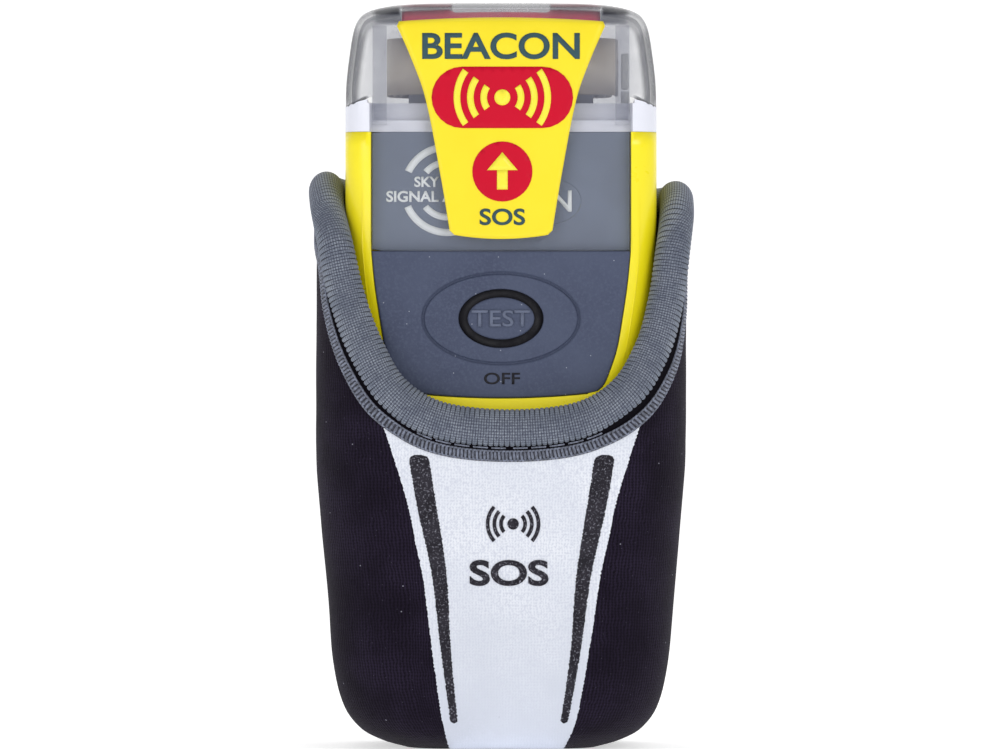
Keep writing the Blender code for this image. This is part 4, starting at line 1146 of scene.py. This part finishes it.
def make_front_case(surface):
    """Yellow front shell with the stepped recess for the keypad, panel and tongue."""
    behind, beside, step, droop_reach = 0.0003, 0.00012, 0.00012, 0.006
    recess_low, recess_top = KEYPAD_EDGE[0][0], CAP_LOW.z - 0.0004
    keypad_floor, tongue_floor = KEYPAD_HIGH.y + behind, PANEL_HIGH.y + behind
    side_steps, floor_steps = 22, 8
    below = [station[0] for station in CASE_STATIONS[:5]] + [0.030, 0.036, 0.042, 0.047, 0.0505]
    below += [recess_low - drop for drop in (0.0014, 0.0005, step)]
    in_keypad = [recess_low + rise for rise in (0.0, 0.0003, 0.0006, 0.0010, 0.0016, 0.0024)]
    z = recess_low + 0.0040
    while z < recess_top - 0.001:
        in_keypad.append(z)
        z += 0.0016
    in_keypad.append(recess_top - step)
    in_tongue = [recess_top + step, 0.0765, 0.079, 0.082, 0.085, 0.088, 0.0905, COLLAR_LOW.z - HAIR]
    levels = [(z, None) for z in below]
    levels += [(z, keypad_floor) for z in in_keypad]
    levels += [(z, tongue_floor) for z in in_tongue]
    rows = []
    for z, floor in levels:
        edge = curve_at(KEYPAD_EDGE, z) + beside
        half = resample(front_half_path(z, edge), side_steps)
        lip_y = half[-1].y
        sunk = floor is not None
        depth = floor if sunk else lip_y
        lip = [(edge - 0.00006, lip_y + (0.00012 if sunk else 0.0)),
               (edge - 0.00008, lip_y + (depth - lip_y) * 0.5 if sunk else lip_y),
               (edge - 0.00010, depth)]
        inner = edge - 0.0001
        across = [(inner - inner * k / floor_steps, depth) for k in range(1, floor_steps + 1)]
        right = [(p.x, p.y) for p in half] + lip + across
        near = smoothstep(droop_reach, 0.0, abs(z - recess_low))
        row = []
        for x, y in right + [(-x, y) for x, y in right[-2::-1]]:
            arch = KEYPAD_BOW * near * max(0.0, 1 - (x / edge) ** 2)
            row.append((x, y, z - (arch if z <= recess_low + 0.0030 else 0.0)))
        rows.append(row)
    shell = grid_object("front_casing", rows, False, flip=True)
    modify(shell, "wall", "SOLIDIFY", thickness=0.0014, offset=-1.0)
    finish_piece(shell, surface, "beacon", ["front_case"])


def ellipse_ring(centre, radii, y, steps):
    """An oval as a ring of points at depth y."""
    return [(centre[0] + radii[0] * math.cos(2 * math.pi * k / steps), y,
             centre[1] + radii[1] * math.sin(2 * math.pi * k / steps)) for k in range(steps)]


def blend_rings(inner, outer, share, y):
    """A ring of points between two others, at depth y."""
    return [(a[0] + (b[0] - a[0]) * share, y, a[2] + (b[2] - a[2]) * share) for a, b in zip(inner, outer)]


def ray_outline(centre, inside, steps):
    """The (x, z) edge of the region that inside(x, z) accepts, at even angles about its centre."""
    reach, halvings = 0.04, 26
    edge = []
    for k in range(steps):
        across, up = math.cos(2 * math.pi * k / steps), math.sin(2 * math.pi * k / steps)
        low, high = 0.0, reach
        for _ in range(halvings):
            middle = (low + high) / 2
            if inside(centre[0] + middle * across, centre[1] + middle * up):
                low = middle
            else:
                high = middle
        edge.append((centre[0] + low * across, centre[1] + low * up))
    return edge


def pulled_in(outline, centre, inward, y):
    """The outline moved towards its centre, as a ring of points at depth y."""
    ring = []
    for x, z in outline:
        length = math.hypot(x - centre[0], z - centre[1])
        share = (length - inward) / length
        ring.append((centre[0] + (x - centre[0]) * share, y, centre[1] + (z - centre[1]) * share))
    return ring


def make_keypad(surface, groove):
    """Slate keypad: a shallow oval dish with a deep groove round the TEST key, and a dark web behind it as
    painted shade in the groove.
    """
    steps, face, back = 288, FRONT + 0.00002, KEYPAD_HIGH.y
    hole, dish, dish_depth = (0.00635, 0.00440), (0.0120, 0.0071), 0.00040

    def inside(x, z):
        floor = KEYPAD_EDGE[0][0] - KEYPAD_BOW * max(0.0, 1 - (x / KEYPAD_EDGE[0][1]) ** 2)
        return abs(x) <= curve_at(KEYPAD_EDGE, z) and floor <= z <= KEYPAD_TOP

    outline = ray_outline(TEST_CENTRE, inside, steps)

    def oval(radii, grow, depth):
        return ellipse_ring(TEST_CENTRE, (radii[0] + grow, radii[1] + grow), face + depth, steps)

    rows = [oval(hole, 0.0, back - face), oval(hole, 0.0, dish_depth + 0.00030),
            oval(hole, 0.00008, dish_depth + 0.00008), oval(hole, 0.00030, dish_depth)]
    foot = oval(dish, -0.00062, dish_depth)
    rows += [blend_rings(rows[3], foot, share, face + dish_depth) for share in (0.35, 0.70)]
    rows.append(foot)
    rows += [oval(dish, grow, depth)
             for grow, depth in ((-0.00040, dish_depth + 0.00022), (-0.00024, dish_depth + 0.00016),
                                 (-0.00008, 0.00014), (0.00004, 0.00003), (0.00018, 0.0))]
    brow, edge_ring = rows[-1], pulled_in(outline, TEST_CENTRE, 0.0005, face)
    rows += [blend_rings(brow, edge_ring, share, face) for share in (0.2, 0.45, 0.7, 0.9)]
    rows += [pulled_in(outline, TEST_CENTRE, inward, face + depth)
             for inward, depth in ((0.00035, 0.0), (0.00014, 0.00006), (0.00004, 0.00018), (0.0, 0.0004),
                                   (0.0, back - face))]
    rows.append(rows[0])
    pad = grid_object("keypad", rows, True)
    modify(pad, "weld", "WELD", merge_threshold=WELD)
    finish_piece(pad, surface, "beacon", ["keypad_panel"])

    # A dark web behind the hole: painted shade at the bottom of the groove round the key.
    well = [ellipse_ring(TEST_CENTRE, radii, back + 0.00012, steps)
            for radii in ((0.0073, 0.0054), (0.0034, 0.0022))]
    web = grid_object("groove_shade_web", well, True)
    modify(web, "thick", "SOLIDIFY", thickness=0.00008)
    finish_piece(web, groove, "beacon")


def make_panel(surface):
    """Plate behind the tongue, with the ON key's hole, up to the collar."""
    steps, gap, round_over = 240, 0.00002, 0.0001
    face, back = PANEL_LOW.y, PANEL_HIGH.y
    hole = (ON_RADII[0] + gap, ON_RADII[1] + gap)
    low, high, half_width = KEYPAD_TOP + gap, COLLAR_LOW.z - gap, KEYPAD_EDGE[-1][1] - 0.00005
    outline = ray_outline(ON_CENTRE, lambda x, z: abs(x) <= half_width and low <= z <= high, steps)
    rows = [ellipse_ring(ON_CENTRE, hole, y, steps) for y in (back, face)]
    edge_ring = pulled_in(outline, ON_CENTRE, round_over, face)
    rows += [blend_rings(rows[1], edge_ring, share, face) for share in (0.3, 0.7)]
    rows.append(edge_ring)
    rows += [pulled_in(outline, ON_CENTRE, 0.0, y) for y in (face + round_over, back)]
    rows.append(rows[0])
    plate = grid_object("panel_plate", rows, True)
    modify(plate, "weld", "WELD", merge_threshold=WELD)
    finish_piece(plate, surface, "beacon", ["upper_panel"])


def make_key(name, centre, radii, face, back, dome, softness, surface, body, replaced):
    """An oval key with a soft edge and a crowned face. Returns the face's point at (x, z)."""
    steps = 96
    rows = [ellipse_ring(centre, radii, y, steps) for y in (back, face + 0.00035 * softness)]
    for inward, sink in ((0.00005, 0.00018), (0.00016, 0.00007), (0.00034, 0.00002)):
        inward, sink = inward * softness, sink * softness
        rows.append(ellipse_ring(centre, (radii[0] - inward, radii[1] - inward), face + sink, steps))
    for share in (0.8, 0.55, 0.3, 0.08):
        rows.append(ellipse_ring(centre, (radii[0] * share, radii[1] * share),
                                 face - dome * (1 - share ** 2), steps))
    key = grid_object(name, rows, True, caps=True)
    finish_piece(key, surface, body, [replaced])
    return lambda x, z: Vector((x, face - dome * max(0.0, 1 - ((x - centre[0]) / radii[0]) ** 2
                                                     - ((z - centre[1]) / radii[1]) ** 2), z))


def make_keys(materials):
    """TEST and ON keys, their lettering and the OFF mark."""
    on_face = make_key("test_key", TEST_CENTRE, (0.00500, 0.00315), FRONT + 0.00012, TEST_HIGH.y,
                       0.00012, 1.0, materials["keypad"], "test_button", "test_button")
    # The letters use the lighter copy of the silicone, a painted highlight.
    flat_object("test_word", text_polygons("TEST", TEST_CENTRE, 0.0025, 0.0088, bold=0.012),
                lambda x, z: on_face(x, z) + Vector((0, 0.00002, 0)), materials["raised"],
                "test_button", depth=0.00022)
    flat_object("off_word", text_polygons("OFF", (0.00015, 0.0557), 0.00175, 0.0054, bold=0.012),
                lambda x, z: Vector((x, FRONT - 0.00001, z)), materials["groove"], "beacon")
    make_key("on_key", ON_CENTRE, ON_RADII, PANEL_LOW.y, PANEL_HIGH.y - 0.0004, 0.00001, 0.15,
             materials["panel"], "on_button", "on_button")
    flat_object("on_word", text_polygons("ON", ON_CENTRE, 0.0033, 0.0068, bold=0.02),
                lambda x, z: Vector((x, PANEL_LOW.y - 0.00006, z)), materials["ink_pale"],
                "on_button")


def make_panel_art(surface):
    """Arcs and words printed on the panel behind the tongue."""
    centre = (-0.0081, 0.0840)
    polygons = []
    for radius, stroke, upper, lower, steps in ((0.00640, 0.00110, (25, 155), (203, 337), 24),
                                                (0.00410, 0.00100, (40, 140), (218, 322), 18)):
        for start, end in (upper, lower):
            polygons += arc_band(centre, radius, stroke, start, end, steps)
    polygons += text_polygons("SKY SIDE", (-0.0088, 0.0852), 0.0016, 0.0084, bold=0.03)
    polygons += text_polygons("SIGNAL AREA", (-0.0101, 0.0830), 0.0017, 0.0142, bold=0.03)
    flat_object("panel_print", polygons, lambda x, z: Vector((x, PANEL_LOW.y - 0.00005, z)), surface,
                "beacon")


# --- Clear cap and its label ---------------------------------------------------------------
def cap_front(x, z, lift=0.0):
    """A point on the cap's front face, a little proud of it."""
    return Vector((x, front_face(station_at(CAP_STATIONS, z), x) - lift, z))


def make_cap(surface):
    """Clear dome with a long front tongue, one even wall and two upright ribs inside its front.

    Its uv holds the height over the lower rim, and CAP_FAR from it on the tongue and the roof."""
    spans, wall, tongue_bow = (10, 10, 16, 14, 40), 0.0009, 0.0004
    tongue_half, edge_front, edge_side, edge_back = 0.0194, 0.0979, 0.0964, 0.0973
    tongue_heights = [CAP_LOW.z, 0.0754, 0.0766] + [0.079 + 0.003 * k for k in range(6)]
    upper_heights = [0.0986, 0.0992, 0.1005, 0.1025, 0.1045, 0.1060, 0.1072, 0.1082, 0.1090, 0.1096, 0.1101,
                     0.1105, 0.1108, 0.11115, 0.1115, 0.11185, 0.1121, 0.11228, CAP_HIGH.z]
    ring = outline_at(CAP_STATIONS, 0.0960, spans)
    columns = len(ring)
    in_tongue = [y < -0.005 and abs(x) <= tongue_half + 0.0001 for x, y, _, _ in ring]

    def lower_edge(x, y):
        if y > 0.0 and abs(x) < tongue_half:
            return edge_back
        return edge_front - (edge_front - edge_side) * smoothstep(tongue_half, 0.0236, abs(x))

    bm = bmesh.new()
    layer = bm.loops.layers.uv.new("rise")
    table, rises = [], []
    for z in tongue_heights:
        bow = tongue_bow if z == tongue_heights[0] else 0.0
        table.append([bm.verts.new((x, y, z - bow * (1 - (x / tongue_half) ** 2))) if in_tongue[c] else None
                      for c, (x, y, _, _) in enumerate(outline_at(CAP_STATIONS, z, spans))])
        rises.append([CAP_FAR] * columns)
    edges = [edge_front if in_tongue[c] else lower_edge(x, y) for c, (x, y, _, _) in enumerate(ring)]
    places = [outline_at(CAP_STATIONS, z, spans)[c] for c, z in enumerate(edges)]
    table.append([bm.verts.new((place[0], place[1], z)) for place, z in zip(places, edges)])
    rises.append([CAP_FAR if in_tongue[c] else 0.0 for c in range(columns)])
    for z in upper_heights:
        table.append([bm.verts.new((x, y, z)) for x, y, _, _ in outline_at(CAP_STATIONS, z, spans)])
        rises.append([CAP_FAR if in_tongue[c] else z - edges[c] for c in range(columns)])
    for r in range(len(table) - 1):
        for c in range(columns):
            d = (c + 1) % columns
            corners = ((r, c), (r, d), (r + 1, d), (r + 1, c))
            verts = [table[i][j] for i, j in corners]
            if None not in verts:
                face = bm.faces.new(verts)
                for loop, (i, j) in zip(face.loops, corners):
                    loop[layer].uv = (0.0, rises[i][j])
    for loop in bm.faces.new(table[-1]).loops:
        loop[layer].uv = (0.0, CAP_FAR)
    cap = object_from("clear_cap_shell", bm, sharp=50)
    modify(cap, "wall", "SOLIDIFY", thickness=wall, offset=-1.0, use_even_offset=True)
    finish_piece(cap, surface, "cap", ["clear_cap"])
    make_cap_ribs(surface, FRONT + wall + 0.0003)


def make_cap_ribs(surface, front):
    """The two ribs, upright just inside the cap's front wall."""
    middle, width, depth, low, high = 0.0182, 0.0021, 0.0006, 0.0937, 0.1086
    bm = bmesh.new()
    for side in (-1, 1):
        for vert in bmesh.ops.create_cube(bm, size=1.0)["verts"]:
            vert.co = Vector((side * middle + vert.co.x * width, front + (vert.co.y + 0.5) * depth,
                              low + (vert.co.z + 0.5) * (high - low)))
    ribs = object_from("cap_ribs", bm)
    for corner in ribs.data.uv_layers.new(name="rise").data:
        corner.uv = (0.0, CAP_FAR)
    finish_piece(ribs, surface, "cap")


def make_label(materials):
    """Yellow film on the cap with plain signs printed on it."""
    low, high, rows_count, columns = LABEL_EDGE[0][0], LABEL_EDGE[-1][0], 46, 30
    bow, corner = 0.0006, 0.0006
    rows = []
    for r in range(rows_count + 1):
        share = r / rows_count
        z = low + (high - low) * share
        half = curve_at(LABEL_EDGE, z)
        end = min(share, 1 - share) * (high - low)
        if end < corner:
            half -= corner - math.sqrt(corner ** 2 - (corner - end) ** 2)
        row = []
        for c in range(columns + 1):
            across = 2 * c / columns - 1
            bend = bow * (1 - across ** 2)
            row.append(cap_front(half * across, z - bend * (1 - share) ** 6 + bend * share ** 6, HAIR))
        rows.append(row)
    film = grid_object("label_film", rows, False)
    modify(film, "film", "SOLIDIFY", thickness=0.00003, offset=1.0)
    finish_piece(film, materials["film"], "cap", ["cap_label"])

    def print_on(name, polygons, lift, ink):
        flat_object(name, polygons, lambda x, z: cap_front(x, z, HAIR + lift), materials[ink],
                    "cap")

    first, second = 0.00008, 0.00013
    sign, badge = (0.0002, 0.0978), (0.0002, 0.0867)
    word = text_polygons("BEACON", (0.0, 0.1055), 0.0040, 0.0236, bold=0.022)
    letters = text_polygons("SOS", (0.0002, 0.0799), 0.0025, 0.0068, bold=0.02)
    signal = disc(sign, 0.0012)
    for radius in (0.0028, 0.0048, 0.0068):
        for start in (-36, 144):
            signal += arc_band(sign, radius, 0.0010, start, start + 72, 12)
    shaft_half, head_half, foot, shoulder, tip = 0.0008, 0.0023, -0.0027, 0.0002, 0.0029
    shaft = ((-shaft_half, foot), (shaft_half, foot), (shaft_half, shoulder), (-shaft_half, shoulder))
    head = ((-head_half, shoulder), (head_half, shoulder), (0.0, tip))
    arrow = [[(badge[0] + x, badge[1] + z) for x, z in outline] for outline in (shaft, head)]
    print_on("label_word", word, first, "ink_teal")
    print_on("label_pill", pill(sign, 0.0212, 0.0092), first, "ink_red")
    print_on("label_signal", signal, second, "ink_yellow")
    print_on("label_disc", disc(badge, 0.0045, 40), first, "ink_red")
    print_on("label_arrow", arrow, second, "ink_yellow")
    print_on("label_letters", letters, first, "ink_teal")


def make_red_tab(surface):
    """Red tab of the antenna's end, arched under the cap's roof with two raised pads."""
    half_width, columns, back = 0.0149, 48, 0.0085
    low, rise, face_rows, roof_rows = 0.1092, 0.0029, 16, 5
    inside_cap, under_roof, pad_height, arch = 0.0010, 0.0012, 0.0004, 0.0004
    rows = []
    for z in (low + rise * (k / face_rows) for k in range(face_rows + 1)):
        row = []
        for c in range(columns + 1):
            x = half_width * (2 * c / columns - 1)
            pad = smoothstep(0.0071, 0.0077, abs(x))
            drop = arch * (x / half_width) ** 2
            row.append((x, cap_front(x * 0.5, z).y + inside_cap, z - under_roof + pad_height * pad - drop))
        rows.append(row)
    crest = rows[-1]
    for step in range(1, roof_rows + 1):
        rows.append([(x, y + (back - y) * step / roof_rows, z) for x, y, z in crest])
    tab = grid_object("red_tab", rows, False)
    modify(tab, "thick", "SOLIDIFY", thickness=0.0006, offset=-1.0)
    finish_piece(tab, surface, "beacon", ["antenna_end_tab"])


# --- CAD nodes that stay -----------------------------------------------------
def dress_nodes(materials):
    """Give the carried-over CAD nodes their materials and soft edges."""
    looks = {
        "yellow": ["rear_case"],
        "white": ["white_collar"],
        "seal": ["case_seal"],
        "head": ["antenna_head"],
        "tape": ["antenna_tape"],
        "lens": ["strobe_led", "strobe_lens", "status_led"],
        "board": ["main_board"],
        "tin": ["rf_shield", "oscillator_can", "antenna_feed_spring", "cell_link", "cell_contact_left",
                "cell_contact_right", "test_switch", "on_switch"],
        "ceramic": ["gps_patch"],
        "tray": ["battery_tray", "test_plunger", "on_plunger"],
        "cell": ["battery_cell_left", "battery_cell_right"],
        "screw": [f"case_screw_{number}" for number in (1, 2, 3, 4)],
    }
    for look, names in looks.items():
        for name in names:
            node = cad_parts[name]
            node.data.materials.clear()
            node.data.materials.append(materials[look])
            node.data.shade_smooth()
            modify(node, "weld", "WELD", merge_threshold=2 * WELD)
    for name in ("rear_case", "white_collar"):
        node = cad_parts[name]
        modify(node, "soft_edge", "BEVEL", width=0.00015, segments=2, angle_limit=math.radians(40))
        modify(node, "even_shade", "WEIGHTED_NORMAL", keep_sharp=True)


# --- Assembly ----------------------------------------------------------------
make_camera()
make_sweep()
make_lights()
materials = make_materials()
route = rim_route()
frames = rim_frames(route)
rim_height = rim_profile(route)
simulate_swell(rim_height)
make_pouch_shell(rim_height, materials["neoprene"])
make_binding(frames, materials["binding"])
make_overlock(frames, materials["overlock"], materials["braid_painted_shade"], materials["groove_painted_shade"])
make_print(route, materials["ink"], materials["ink_black"])
make_pouch_art(materials["ink_black"])
make_belt_loop(materials["webbing"], materials["tacking"])
make_front_case(materials["yellow"])
make_keypad(materials["keypad"], materials["groove"])
make_keys(materials)
make_panel(materials["panel"])
make_panel_art(materials["ink_pale"])
make_cap(materials["smoke"])
make_label(materials)
make_red_tab(materials["red"])
dress_nodes(materials)
